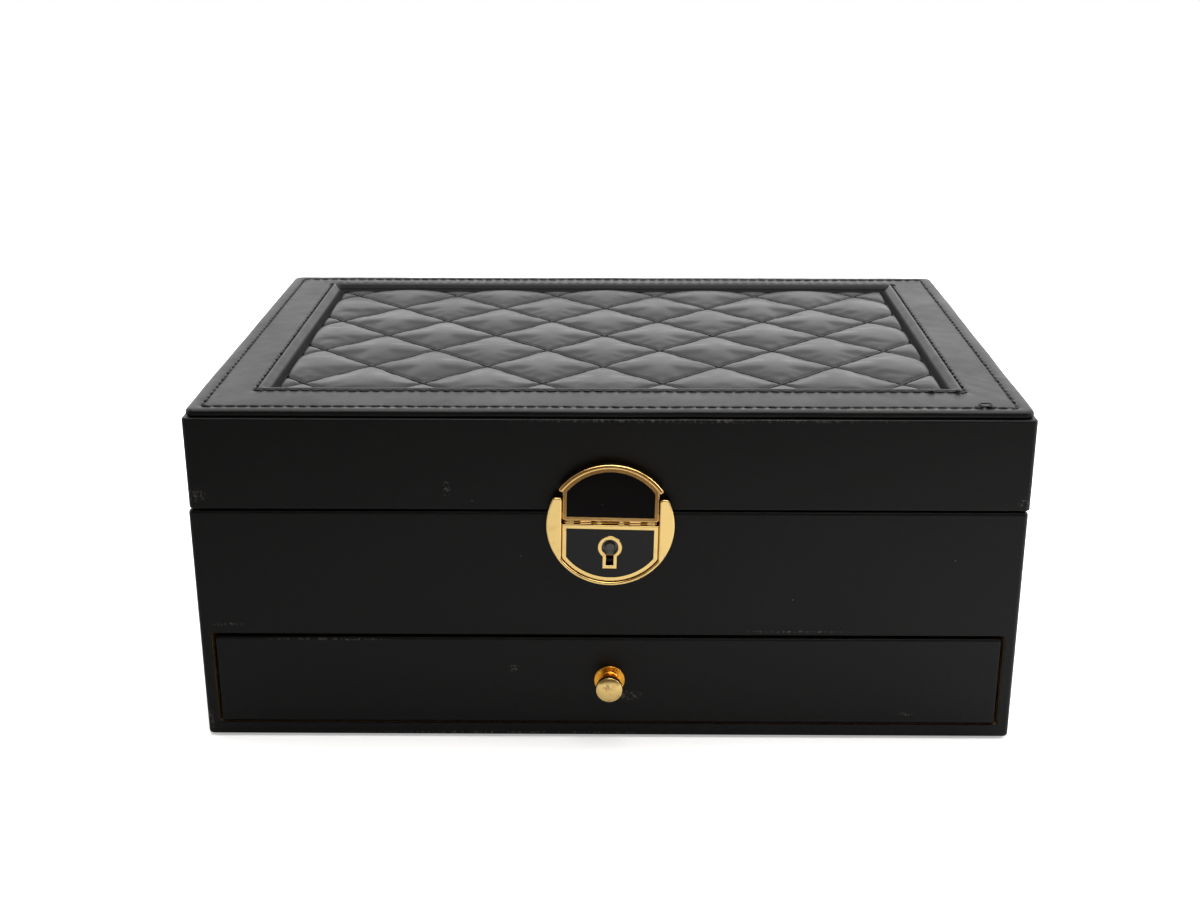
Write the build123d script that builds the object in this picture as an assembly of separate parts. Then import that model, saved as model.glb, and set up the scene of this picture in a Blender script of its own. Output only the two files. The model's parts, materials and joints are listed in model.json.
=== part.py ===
from build123d import *
import math
import os

# A leather-covered jewellery box: a case with a lined tray over a pull-out drawer, a hinged lid with
# a quilted pad let into its frame, and a round flip latch with a keyhole on the front.
# Millimetres. +Z is up, the front faces -Y, and the origin is the middle of the base on the ground.

# ---- driving dimensions ----
box_width = 260.0
box_depth = 180.0
case_top = 79.0
lid_bottom = 79.4
lid_wall_top = 108.9
lid_top = 111.3
lid_shift = 0.35            # the lid sits this far to the right of the case
cover = 0.5                 # thickness of the leather covering
board = 3.2                 # thickness of the wall boards
lining = 0.5                # thickness of the velvet lining
felt = 0.6                  # thickness of the felt under the base
corner_radius = 1.6         # upright outer corners of case and lid
edge_radius = 1.2           # other outer edges of the case
lid_edge_radius = 0.6       # other outer edges of the lid

# drawer and its bay
bay_floor = 5.0
bay_top = 37.0
shelf_thickness = 3.0
drawer_half_width = 125.2
drawer_bottom_z = 5.5
drawer_top_z = 35.7
drawer_front_thickness = 4.0
drawer_side = 2.8
drawer_side_top = 32.0
drawer_back_y = 84.0
knob_x = 0.6
knob_z = 21.3
knob_length = 8.6
knob_dome_radius = 14.0

# tray above the drawer
divider = 3.0
divider_height = 26.0
ring_bay_right = -43.5
ring_roll_count = 10
ring_roll_height = 24.0
ring_roll_gap = 0.8
cross_divider_y = 5.0
short_divider_x = 42.6

# lid panel, measured from the middle of the box
frame_half_width = 129.2
frame_front_y = -89.2
frame_back_y = 87.4
opening_half_width = 106.4
opening_front_y = -63.2
opening_back_y = 69.8
frame_lip = 5.8             # width of the rolled edge round the pad opening
pad_gap = 1.2
pad_top = 110.9
pad_bottom = 108.3
top_board_top = 107.1
mirror_half_width = 101.0
mirror_half_depth = 63.0
mirror_thickness = 2.0
mirror_rebate = 5.0
mirror_frame_border = 11.0

# rear hinges
hinge_x = 78.0
hinge_length = 30.0
hinge_radius = 1.9
hinge_pin_radius = 1.0
hinge_leaf_height = 13.0
hinge_leaf = 0.9
hinge_clearance = 0.06
hinge_z = (case_top + lid_bottom) / 2
hinge_y = box_depth / 2 + hinge_radius
screw_radius = 0.6
screw_head_radius = 1.5
hinge_screw_dx = 9.5
hinge_screw_dz = 8.5

# round lock, in its own frame: origin at its centre on the front face of the case
lock_x = 0.9
lock_z = 75.6
lock_tilt = 1.2             # degrees clockwise, seen from the front
lock_radius = 19.8
lock_front = -4.0           # front face of the frame
plate_front = -3.6          # front face of the two D plates
plate_half_width = 14.8
plate_radius = 18.45
plate_rim = 1.25
horn_top = 9.0
split_low = 0.2
split_high = 1.45
lever_axis_y = -3.0
lever_axis_z = 0.83
lever_pin_radius = 0.3
lever_knuckle_x = 7.6
lip_inner_radius = 18.4
lip_outer_radius = 19.9
lip_angle = 54.7            # degrees each side of straight up
lip_front = -5.2
lip_back = -2.5
lever_lean = 4.5            # degrees that the closed latch lever leans back against the lid
keyhole_z = -7.1
keyhole_rim_radius = 3.75
keyhole_stem = 2.2          # half the width of the stem of the keyhole's rim
keyhole_low = keyhole_z - 7.1
claw_half_width = 4.0
key_radius = 3.0
bolt_travel = 1.0
bolt_bar = 1.0              # width of the bars of the bolt's frame
bolt_bay = 3.3              # half the height of the bolt's frame inside, before its room to travel
lock_screw_xs = (-11.0, 11.0)
lock_screw_z = -9.0
lock_screw_radius = 1.0
rivet_xs = (-9.0, 9.0)
rivet_z = 9.5
rivet_radius = 0.7

half_w = box_width / 2
half_d = box_depth / 2
inner_w = half_w - cover - board
inner_d = half_d - cover - board
shelf_top = bay_top + shelf_thickness
tray_floor = shelf_top + lining

os.makedirs("parts", exist_ok=True)


def block(x0, x1, y0, y1, z0, z1):
    """A plain box between two corners."""
    return Pos((x0 + x1) / 2, (y0 + y1) / 2, (z0 + z1) / 2) * Box(x1 - x0, y1 - y0, z1 - z0)


def centred(half_x, half_y, z0, z1):
    """A box about the upright centre line."""
    return block(-half_x, half_x, -half_y, half_y, z0, z1)


def rod(radius, length, axis="X"):
    """A cylinder about the origin, along one axis."""
    turn = {"X": Rot(0, 90, 0), "Y": Rot(90, 0, 0), "Z": Rot(0, 0, 0)}[axis]
    return turn * Cylinder(radius, length)


def rounded(shape, corner, edge):
    """Round the upright edges of a box, then the rims of its top and bottom faces."""
    shape = fillet(shape.edges().filter_by(Axis.Z), corner)
    flat = shape.faces().filter_by(Axis.Z)
    return fillet(flat.edges(), edge)


def plate(sketch, front, back):
    """An upright plate parallel to the front, between two depths."""
    return extrude(Pos(0, back, 0) * (Plane.XZ * sketch), amount=back - front)


def group(shapes):
    """Separate solids that share one node."""
    return Compound(children=[solid for shape in shapes for solid in shape.solids()])


def save(name, shape):
    export_step(shape, f"parts/{name}.step")


def on_lid(shape):
    return Pos(lid_shift, 0, 0) * shape


def on_lock(shape):
    """Put a piece of the lock in its place on the case front."""
    return Pos(lock_x, -half_d, lock_z) * (Rot(0, lock_tilt, 0) * shape)


# ---- where the fasteners go, as cutters and as screws ----
def hinge_screw_places(upper):
    z = hinge_z + hinge_screw_dz if upper else hinge_z - hinge_screw_dz
    return [(side * hinge_x + end * hinge_screw_dx, z) for side in (-1, 1) for end in (-1, 1)]


def hinge_shanks(upper, radius, front, back):
    return [Pos(x, (front + back) / 2, z) * rod(radius, back - front, "Y")
            for x, z in hinge_screw_places(upper)]


def lock_shanks(xs, z, radius, front, back):
    return [on_lock(Pos(x, (front + back) / 2, z) * rod(radius, back - front, "Y")) for x in xs]


def without(shape, cutters):
    for cutter in cutters:
        shape = shape - cutter
    return shape


screw_tip = half_d - 3.0
case_pilots = hinge_shanks(False, screw_radius, screw_tip, half_d + 1)
lid_pilots = hinge_shanks(True, screw_radius, screw_tip, half_d + 1)
lock_pilots = lock_shanks(lock_screw_xs, lock_screw_z, lock_screw_radius, -1.0, 8.0)
strike_pilots = lock_shanks(rivet_xs, rivet_z, rivet_radius, -0.6, 5.0)


# ---- case boards ----
def case_boards():
    low = bay_floor
    high = case_top - cover
    skin_w = half_w - cover
    skin_d = half_d - cover
    save("base_board", centred(skin_w, skin_d, felt + cover, low))
    save("left_board", block(-skin_w, -inner_w, -skin_d, skin_d, low, high))
    save("right_board", block(inner_w, skin_w, -skin_d, skin_d, low, high))
    save("back_board", without(block(-inner_w, inner_w, inner_d, skin_d, low, high), case_pilots))
    front = block(-inner_w, inner_w, -skin_d, -inner_d, bay_top, high)
    save("front_board", without(front, lock_pilots))
    save("bay_shelf", centred(inner_w, inner_d, bay_top, shelf_top))


def case_cover():
    skin = rounded(centred(half_w, half_d, felt, case_top), corner_radius, edge_radius)
    skin -= centred(half_w - cover, half_d - cover, felt + cover, case_top - cover)
    skin -= centred(inner_w, inner_d, case_top - 1, case_top + 1)
    skin -= centred(half_w - 15, half_d - 15, felt - 1, felt + 1)
    mouth = Pos(0, (bay_floor + bay_top) / 2) * RectangleRounded(2 * inner_w, bay_top - bay_floor, 1.2)
    skin -= plate(mouth, -half_d - 1, -half_d + 2)
    save("case_cover", without(skin, case_pilots + lock_pilots))


def base_pieces():
    save("base_felt", centred(half_w - 4, half_d - 4, 0, felt))
    strips = [block(x - 5, x + 5, -half_d + 8, half_d - 20, bay_floor, bay_floor + 0.4)
              for x in (-95, 95)]
    save("drawer_runners", group(strips))


# ---- tray over the drawer ----
def tray():
    skin = centred(inner_w, inner_d, shelf_top, case_top - cover)
    skin -= centred(inner_w - lining, inner_d - lining, tray_floor, case_top)
    save("case_lining", without(skin, lock_pilots))
    x0 = ring_bay_right
    x1 = inner_w - lining
    y1 = inner_d - lining
    top = tray_floor + divider_height
    y_cross = cross_divider_y
    save("divider_long", block(x0, x0 + divider, -y1, y1, tray_floor, top))
    save("divider_cross", block(x0 + divider, x1, y_cross - 1.5, y_cross + 1.5, tray_floor, top))
    x_short = short_divider_x
    save("divider_short", block(x_short - 1.5, x_short + 1.5, -y1, y_cross - 1.5, tray_floor, top))
    pitch = 2 * y1 / ring_roll_count
    thick = pitch - ring_roll_gap
    length = x0 + x1 - ring_roll_gap
    rolls = []
    for i in range(ring_roll_count):
        roll = Box(length, thick, ring_roll_height)
        roll = fillet(roll.edges().filter_by(Axis.X).group_by(Axis.Z)[-1], thick / 2 - 0.3)
        centre_y = -y1 + pitch * (i + 0.5)
        rolls.append(Pos((x0 - x1) / 2, centre_y, tray_floor + ring_roll_height / 2) * roll)
    save("ring_rolls", group(rolls))


# ---- lid ----
def lid_boards():
    low = lid_bottom + cover
    high = lid_wall_top - cover
    skin_w = half_w - cover
    skin_d = half_d - cover
    save("lid_left_board", on_lid(block(-skin_w, -inner_w, -skin_d, skin_d, low, high)))
    save("lid_right_board", on_lid(block(inner_w, skin_w, -skin_d, skin_d, low, high)))
    back = on_lid(block(-inner_w, inner_w, inner_d, skin_d, low, high))
    save("lid_back_board", without(back, lid_pilots))
    front = on_lid(block(-inner_w, inner_w, -skin_d, -inner_d, low, high))
    save("lid_front_board", without(front, strike_pilots))
    save("lid_top_board", on_lid(centred(inner_w, inner_d, top_board_top - 3, top_board_top)))
    strips = strips_round_opening(inner_w, -inner_d, inner_d, 0, top_board_top, lid_wall_top)
    save("lid_frame_spacer", group([on_lid(strip) for strip in strips]))


def strips_round_opening(half_x, front, back, margin, z0, z1):
    """Four flat strips, butted at the corners, that leave the pad opening free."""
    x = opening_half_width + margin
    y0 = opening_front_y - margin
    y1 = opening_back_y + margin
    return [block(-half_x, half_x, front, y0, z0, z1), block(-half_x, half_x, y1, back, z0, z1),
            block(-half_x, -x, y0, y1, z0, z1), block(x, half_x, y0, y1, z0, z1)]


def pad_well(z0, z1):
    return block(-opening_half_width, opening_half_width, opening_front_y, opening_back_y, z0, z1)


def lid_cover():
    skin = rounded(centred(half_w, half_d, lid_bottom, lid_wall_top), corner_radius, lid_edge_radius)
    skin -= centred(half_w - cover, half_d - cover, lid_bottom + cover, lid_wall_top - cover)
    skin -= centred(inner_w, inner_d, lid_bottom - 1, lid_wall_top + 1)
    save("lid_cover", without(on_lid(skin), lid_pilots + strike_pilots))


def lid_frame():
    """The flat leather frame on top of the lid, with its edge rolled down into the pad opening."""
    outer = block(-frame_half_width, frame_half_width, frame_front_y, frame_back_y, lid_wall_top, lid_top)
    outer = fillet(outer.edges().filter_by(Axis.Z), 3.0)
    outer = fillet(outer.faces().sort_by(Axis.Z)[-1].edges(), 0.9)
    outer = fillet(outer.faces().sort_by(Axis.Z)[0].edges(), 0.5)
    outer -= pad_well(lid_wall_top - 1, lid_top + 1)
    inner_rim = outer.faces().sort_by(Axis.Z)[-1].inner_wires()[0]
    outer = fillet(inner_rim.edges(), 1.5)
    inset = 1.2
    strips = strips_round_opening(frame_half_width - inset, frame_front_y + inset, frame_back_y - inset,
                                  frame_lip - 3, lid_wall_top + 0.4, lid_top - 0.6)
    save("lid_frame_core", group([on_lid(strip) for strip in strips]))
    save("lid_frame_cover", on_lid(without(outer, strips)))


def pad():
    half = opening_half_width - pad_gap
    front = opening_front_y + pad_gap
    back = opening_back_y - pad_gap
    body = block(-half, half, front, back, pad_bottom, pad_top)
    body = fillet(body.edges().filter_by(Axis.Z), 3.0)
    body = fillet(body.faces().sort_by(Axis.Z)[-1].edges(), 1.5)
    save("quilted_pad", on_lid(body))
    save("pad_backing", on_lid(block(-half + 1, half - 1, front + 1, back - 1, top_board_top, pad_bottom)))


def lid_inside():
    ceiling = top_board_top - 3
    skin = centred(inner_w, inner_d, lid_bottom + cover, ceiling)
    skin -= centred(inner_w - lining, inner_d - lining, lid_bottom, ceiling - lining)
    save("lid_lining", without(on_lid(skin), strike_pilots))
    glass_top = ceiling - lining
    glass_low = glass_top - mirror_thickness
    half_x = mirror_half_width
    half_y = mirror_half_depth
    glass = centred(half_x, half_y, glass_low, glass_top)
    save("mirror", on_lid(chamfer(glass.faces().sort_by(Axis.Z)[0].edges(), 0.8)))
    border = mirror_frame_border
    rim = centred(half_x + border, half_y + border, glass_low - 2.2, glass_top)
    rim = fillet(rim.edges().filter_by(Axis.Z), 3.0)
    rim = fillet(rim.faces().sort_by(Axis.Z)[0].edges(), 1.2)
    rim -= centred(half_x + 0.2, half_y + 0.2, glass_low - 0.1, glass_top + 1)
    rim -= centred(half_x - mirror_rebate, half_y - mirror_rebate, glass_low - 5, glass_top)
    save("mirror_frame", on_lid(rim))


# ---- rear hinges ----
def hinge_spans(own_ends):
    """The stretches of barrel that belong to one leaf: the two ends, or the middle."""
    third = hinge_length / 3
    gap = 0.15
    if own_ends:
        return [(-hinge_length / 2, -third / 2 - gap), (third / 2 + gap, hinge_length / 2)]
    return [(-third / 2 + gap, third / 2 - gap)]


def hinge_leaf_at(x, upper):
    sign = 1 if upper else -1
    far = hinge_z + sign * hinge_leaf_height
    leaf = block(-hinge_length / 2, hinge_length / 2, half_d, half_d + hinge_leaf,
                 min(hinge_z, far), max(hinge_z, far))
    tip = leaf.edges().filter_by(Axis.Y).group_by(Axis.Z)
    leaf = fillet(tip[-1] if upper else tip[0], 1.5)
    leaf -= Pos(0, hinge_y, hinge_z) * rod(hinge_radius + 0.35, hinge_length + 2)
    for a, b in hinge_spans(not upper):
        knuckle = Pos((a + b) / 2, hinge_y, hinge_z) * rod(hinge_radius, b - a)
        root = block(a, b, half_d, half_d + hinge_leaf, min(hinge_z, hinge_z + sign * 3),
                     max(hinge_z, hinge_z + sign * 3))
        leaf = leaf + knuckle + root
    bore = hinge_pin_radius + (hinge_clearance if upper else 0)
    leaf -= Pos(0, hinge_y, hinge_z) * rod(bore, hinge_length + 2)
    return Pos(x, 0, 0) * leaf


def hinges():
    for name, upper in (("case_hinge_leaves", False), ("lid_hinge_leaves", True)):
        holes = hinge_shanks(upper, screw_radius, half_d - 1, half_d + 3)
        save(name, group([without(hinge_leaf_at(side * hinge_x, upper), holes) for side in (-1, 1)]))
    pins = []
    for side in (-1, 1):
        pin = rod(hinge_pin_radius, hinge_length)
        for end in (-1, 1):
            cap = Pos(end * (hinge_length / 2 + 0.4), 0, 0) * rod(hinge_radius - 0.3, 0.8)
            pin = pin + cap
        pins.append(Pos(side * hinge_x, hinge_y, hinge_z) * pin)
    save("hinge_pins", group(pins))
    for name, upper in (("case_hinge_screws", False), ("lid_hinge_screws", True)):
        screws = []
        seat = half_d + hinge_leaf
        for x, z in hinge_screw_places(upper):
            shank = Pos(x, (screw_tip + seat) / 2, z) * rod(screw_radius, seat - screw_tip, "Y")
            head = Pos(x, seat + 0.3, z) * rod(screw_head_radius, 0.6, "Y")
            head = fillet(head.edges().sort_by(Axis.Y)[-1], 0.35)
            head -= Pos(x, seat + 0.6, z) * Box(2.2, 0.5, 0.4)
            screws.append(shank + head)
        save(name, group(screws))


# ---- lock ----
def d_sketch(radius, half_x, low, high):
    """A disc cut to a width and to a band of heights: the outline of a D plate."""
    return Circle(radius) & (Pos(0, (low + high) / 2) * Rectangle(2 * half_x, high - low))


def lower_d(shrink):
    low = -lock_radius
    return d_sketch(plate_radius - shrink, plate_half_width - shrink, low, split_low - shrink)


def upper_d(shrink):
    return d_sketch(plate_radius - shrink, plate_half_width - shrink, split_high + shrink, lock_radius)


def keyhole(radius, half_stem, low):
    stem = Pos(0, (low + keyhole_z) / 2) * Rectangle(2 * half_stem, keyhole_z - low)
    return Pos(0, keyhole_z) * Circle(radius) + stem


def barrel(radius, x_low, x_high):
    middle = Pos((x_low + x_high) / 2, lever_axis_y, lever_axis_z)
    return middle * rod(radius, x_high - x_low)


def lock_frame():
    """The crescent with two horns, its base plate, the ledge for the face plate and the pin lugs."""
    well = d_sketch(plate_radius + 0.3, plate_half_width + 0.3, -lock_radius, lock_radius + 1)
    crescent = d_sketch(lock_radius, lock_radius, -lock_radius, horn_top) - well
    ring = plate(crescent, lock_front, -0.5)
    ends = ring.faces().sort_by(Axis.Z)[-2:]
    ring = fillet(ends.edges().filter_by(Axis.Y), 0.9)
    ring = fillet(ring.faces().sort_by(Axis.Y)[0].edges(), 0.4)
    foot = d_sketch(lock_radius - 0.2, lock_radius, -lock_radius, 3.0)
    frame = ring + plate(foot, -1.0, 0)
    cavity = lower_d(plate_rim + 0.3) - Pos(0, 0.5) * Rectangle(2 * plate_half_width, 2.6)
    ledge = d_sketch(plate_radius + 0.3, plate_half_width + 0.3, -lock_radius, split_low) - cavity
    frame += plate(ledge, plate_front + 1.0, -1.0)
    frame -= plate(Pos(0, -0.4) * Rectangle(4.2, 2.4), plate_front, -1.0)
    for x_low, x_high in ((-13.7, -11.3), (-4.2, -2.6), (2.6, 4.2), (11.3, 13.7)):
        web = block(x_low, x_high, lever_axis_y, -0.5, lever_axis_z - 0.5, lever_axis_z + 0.5)
        frame += barrel(0.55, x_low, x_high) + web
    frame -= barrel(lever_pin_radius, -20, 20) & block(-14.4, 14.4, -5, 0, -5, 5)
    frame -= Pos(0, 0, keyhole_z) * rod(1.3, 4, "Y")
    save("lock_frame", without(on_lock(frame), lock_pilots))


def lock_plates():
    back = plate_front + 1.0
    body = plate(lower_d(0), plate_front, back)
    body = fillet(body.faces().sort_by(Axis.Y)[0].edges(), 0.25)
    body -= plate(keyhole(keyhole_rim_radius, keyhole_stem, keyhole_low), plate_front - 1, back + 1)
    body -= plate(lower_d(plate_rim), plate_front - 1, plate_front + 0.6)
    save("lock_face", on_lock(body))
    inlay = lower_d(plate_rim) - keyhole(keyhole_rim_radius, keyhole_stem, keyhole_low)
    save("lock_enamel", on_lock(plate(inlay, plate_front + 0.2, plate_front + 0.6)))
    rim = keyhole(keyhole_rim_radius, keyhole_stem, keyhole_low) - keyhole(2.57, 1.15, keyhole_z - 6.0)
    rim = plate(rim, plate_front - 0.1, back)
    rim = fillet(rim.faces().sort_by(Axis.Y)[0].edges(), 0.2)
    save("keyhole_rim", on_lock(rim))


def leaning(shape):
    """Turn a piece of the latch lever back about its pin, to where it rests when closed."""
    return Pos(0, lever_axis_y, lever_axis_z) * (
        Rot(-lever_lean, 0, 0) * (Pos(0, -lever_axis_y, -lever_axis_z) * shape))


def latch():
    body = plate(upper_d(0), plate_front, -2.2)
    corners = body.edges().filter_by(Axis.Y).group_by(Axis.Z)[0]
    body = fillet(corners, 1.0)
    body = fillet(body.faces().sort_by(Axis.Y)[0].edges(), 0.3)
    body -= plate(upper_d(plate_rim), plate_front - 1, plate_front + 0.6)
    band = Circle(lip_outer_radius) - Circle(lip_inner_radius)
    reach = 30.0
    wing = reach * math.tan(math.radians(lip_angle))
    band = band & make_face(Polyline((0, 0), (wing, reach), (-wing, reach), close=True))
    lip = plate(band, lip_front, lip_back)
    lip = fillet(lip.edges().filter_by(Axis.Y), 0.5)
    lip = fillet(lip.faces().sort_by(Axis.Y)[0].edges(), 0.6)
    body += lip
    claw = block(-claw_half_width, claw_half_width, -2.2, -1.9, 10.6, 12.4)
    body += claw
    for side in (-1, 1):
        x_low = side * lever_knuckle_x - 1.65
        x_high = side * lever_knuckle_x + 1.65
        web = block(x_low, x_high, lever_axis_y - 0.4, lever_axis_y + 0.4, lever_axis_z, split_high + 0.5)
        body += barrel(0.6, x_low, x_high) + web
    body -= barrel(lever_pin_radius + 0.04, -20, 20)
    save("latch_lever", on_lock(leaning(body)))
    inlay = plate(upper_d(plate_rim), plate_front + 0.2, plate_front + 0.6)
    save("lever_enamel", on_lock(leaning(inlay)))
    save("lever_pin", on_lock(barrel(lever_pin_radius, -14.2, 14.2)))


def lock_inside():
    """The round key plug with its cam, the bolt frame that the cam lifts, and what holds the lock on."""
    disc = plate(Pos(0, keyhole_z) * Circle(key_radius) + Pos(3.2, keyhole_z) * Circle(0.7), -2.4, -1.1)
    post = Pos(0, -2.8, keyhole_z) * rod(1.7, 0.8, "Y")
    post = fillet(post.edges().sort_by(Axis.Y)[0], 0.7)
    pivot = Pos(0, -0.75, keyhole_z) * rod(1.2, 0.7, "Y")
    save("key_plug", on_lock(disc + post + pivot))
    bay_low = keyhole_z - bolt_bay - bolt_travel
    bay_high = keyhole_z + bolt_bay
    bolt = block(-5.2, 5.2, -2.3, -1.3, bay_low - bolt_bar, bay_high + bolt_bar)
    bolt -= block(-4.2, 4.2, -3, 0, bay_low, bay_high)
    tongue = block(-1.8, 1.8, -2.3, -1.3, bay_high + bolt_bar - 0.2, -0.9)
    save("lock_bolt", on_lock(bolt + tongue))
    rear = cover + board + lining
    strap = block(-15, 15, rear, rear + 0.8, lock_screw_z - 3, lock_screw_z + 3)
    save("lock_backplate", without(on_lock(strap), lock_pilots))
    screws = []
    for x in lock_screw_xs:
        shank = Pos(x, (rear - 0.2) / 2, lock_screw_z) * rod(lock_screw_radius, rear + 1.8, "Y")
        head = Pos(x, rear + 1.2, lock_screw_z) * rod(2 * lock_screw_radius, 0.8, "Y")
        head -= Pos(x, rear + 1.6, lock_screw_z) * Box(3, 0.6, 0.5)
        screws.append(on_lock(shank + head))
    save("lock_screws", group(screws))


def strike():
    """The catch on the lid that the latch lever closes over."""
    body = block(-11.5, 11.5, -0.6, 0, 5.5, 13.5)
    body = fillet(body.edges().filter_by(Axis.Y), 1.5)
    ledge = block(-claw_half_width, claw_half_width, -1.0, -0.6, 9.0, 10.2)
    for x in rivet_xs:
        body -= Pos(x, 0, rivet_z) * rod(rivet_radius, 2, "Y")
    save("strike_plate", on_lock(body + ledge))
    rear = cover + board + lining
    rivets = []
    for x in rivet_xs:
        shank = Pos(x, (rear - 0.6) / 2, rivet_z) * rod(rivet_radius, rear + 0.6, "Y")
        head = Pos(x, rear + 0.2, rivet_z) * rod(2 * rivet_radius, 0.4, "Y")
        rivets.append(on_lock(shank + head))
    save("strike_rivets", group(rivets))


# ---- drawer ----
def drawer():
    y0 = -half_d
    y1 = y0 + drawer_front_thickness
    w = drawer_half_width
    face = block(-w, w, y0, y1, drawer_bottom_z, drawer_top_z)
    face = fillet(face.edges().filter_by(Axis.Y), 1.0)
    face = fillet(face.faces().sort_by(Axis.Y)[0].edges(), 0.9)
    hole = Pos(knob_x, y1 - 2, knob_z) * rod(1.0, 8, "Y")
    core = block(-w + cover, w - cover, y0 + cover, y1, drawer_bottom_z + cover, drawer_top_z - cover)
    save("drawer_front_core", core - hole)
    save("drawer_front_cover", face - core - hole)
    side = drawer_half_width - 0.6
    low = drawer_bottom_z + 0.1
    floor_top = low + 1.8
    save("drawer_bottom", block(-side, side, y1, drawer_back_y, low, floor_top))
    for name, x0, x1 in (("drawer_left_side", -side, -side + drawer_side),
                         ("drawer_right_side", side - drawer_side, side)):
        save(name, block(x0, x1, y1, drawer_back_y, floor_top, drawer_side_top))
    inside = side - drawer_side
    y_back = drawer_back_y - drawer_side
    save("drawer_back", block(-inside, inside, y_back, drawer_back_y, floor_top, drawer_side_top))
    skin = block(-inside, inside, y1, y_back, floor_top, drawer_side_top)
    skin -= block(-inside + lining, inside - lining, y1 + lining, y_back - lining,
                  floor_top + lining, drawer_side_top + 1)
    save("drawer_lining", skin - hole)
    walls = []
    for x in (-41.0, 41.0):
        walls.append(block(x - 1.25, x + 1.25, y1 + lining, y_back - lining,
                           floor_top + lining, drawer_side_top - 4))
    save("drawer_dividers", group(walls))


def knob():
    """A turned knob on the drawer: a flange, a tapering neck and a domed button."""
    profile = [(0, 0), (4.95, 0), (4.95, 1.3), (4.5, 1.7), (3.4, 1.9), (2.6, 3.4), (2.3, 5.4),
               (3.9, 5.9), (4.2, 6.3), (4.2, knob_length), (0, knob_length)]
    turned = revolve(Plane.XZ * make_face(Polyline(*profile, close=True)), Axis.Z)
    turned &= Pos(0, 0, knob_length - knob_dome_radius) * Sphere(knob_dome_radius)
    turned -= Pos(0, 0, 2.0) * Cylinder(1.0, 4.0)
    turned = Pos(knob_x, -half_d, knob_z) * (Rot(90, 0, 0) * turned)
    save("drawer_knob", turned)
    seat = -half_d + drawer_front_thickness + lining
    shank = Pos(knob_x, (seat - half_d - 4.0) / 2, knob_z) * rod(1.0, seat + half_d + 4.0, "Y")
    head = Pos(knob_x, seat + 0.6, knob_z) * rod(2.6, 1.2, "Y")
    head = fillet(head.edges().sort_by(Axis.Y)[-1], 0.5)
    head -= Pos(knob_x, seat + 1.2, knob_z) * Box(4, 0.8, 0.6)
    save("knob_screw", shank + head)


case_boards()
case_cover()
base_pieces()
tray()
lid_boards()
lid_cover()
lid_frame()
pad()
lid_inside()
hinges()
lock_frame()
lock_plates()
latch()
lock_inside()
strike()
drawer()
knob()
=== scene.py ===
# %% [markdown]
# # A leather jewellery box, finished in Blender
# The CAD model brings every board, hinge and lock part in its real place. This lesson dresses that model:
# it adds the camera and the studio, builds the leather, gold, enamel and velvet, then makes the sewn and
# stuffed pieces that CAD only holds as plain blocks. Each step says what the real piece is and why it is
# made the way it is. Lengths are given in millimetres and turned into metres where they are used, unless
# a comment says that they are metres.

import json
import math

import bmesh
import bpy
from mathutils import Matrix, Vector, noise


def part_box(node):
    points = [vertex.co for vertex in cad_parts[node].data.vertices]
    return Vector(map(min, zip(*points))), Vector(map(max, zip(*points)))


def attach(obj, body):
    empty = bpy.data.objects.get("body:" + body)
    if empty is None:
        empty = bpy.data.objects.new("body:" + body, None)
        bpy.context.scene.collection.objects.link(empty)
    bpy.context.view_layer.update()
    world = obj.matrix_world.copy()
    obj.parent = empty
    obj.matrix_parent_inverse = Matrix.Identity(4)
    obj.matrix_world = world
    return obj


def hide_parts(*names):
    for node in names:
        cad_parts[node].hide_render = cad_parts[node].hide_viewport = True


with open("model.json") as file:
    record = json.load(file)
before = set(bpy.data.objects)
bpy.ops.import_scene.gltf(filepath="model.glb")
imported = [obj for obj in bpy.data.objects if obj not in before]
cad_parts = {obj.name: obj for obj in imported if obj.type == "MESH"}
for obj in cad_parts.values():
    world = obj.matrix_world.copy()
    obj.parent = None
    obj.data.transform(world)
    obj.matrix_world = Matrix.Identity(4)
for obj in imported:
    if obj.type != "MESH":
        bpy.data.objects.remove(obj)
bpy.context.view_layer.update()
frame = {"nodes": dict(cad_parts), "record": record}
nodes = frame["nodes"]
MM = 0.001
scene = bpy.context.scene

# %% [markdown]
# The box is seen from the front, a little above the lid, with a slightly long lens. A camera looks down
# its own -Z axis, so a turn of 90 degrees about X points it level, and less than that points it down.
# The small shift keeps upright edges as they are while the box stands a little right of the middle.

# %% Camera
CAMERA_PLACE = (3.95, -543.24, 259.29)
CAMERA_DOWN = 19.457
CAMERA_LEFT = 0.514
LENS = 47.35
CAMERA_SHIFT = -0.006

camera = bpy.data.objects.new("camera", bpy.data.cameras.new("camera"))
camera.location = Vector(CAMERA_PLACE) * MM
camera.rotation_euler = (math.radians(90 - CAMERA_DOWN), 0, math.radians(CAMERA_LEFT))
camera.data.lens = LENS
camera.data.sensor_width = 36
camera.data.shift_x = CAMERA_SHIFT
camera.data.clip_start = 0.01
scene.collection.objects.link(camera)
scene.camera = camera
print("camera", CAMERA_PLACE, "lens", LENS)

# %% [markdown]
# Shader trees are easier to read when every node takes one line. This helper adds a node, sets its
# properties and then fills its inputs: a value is written on the socket, another node's output is linked.

# %% Node helpers
def node(tree, kind, inputs=None, **settings):
    """Add a node, set its properties, then set or link its inputs by name or number."""
    made = tree.nodes.new(kind)
    for key, value in settings.items():
        setattr(made, key, value)
    for key, value in (inputs or {}).items():
        socket = made.inputs[key]
        if isinstance(value, bpy.types.NodeSocket):
            tree.links.new(value, socket)
        else:
            socket.default_value = value
    return made


def maths(tree, operation, *values, clamp=False):
    made = node(tree, "ShaderNodeMath", dict(enumerate(values)), operation=operation, use_clamp=clamp)
    return made.outputs[0]


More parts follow.
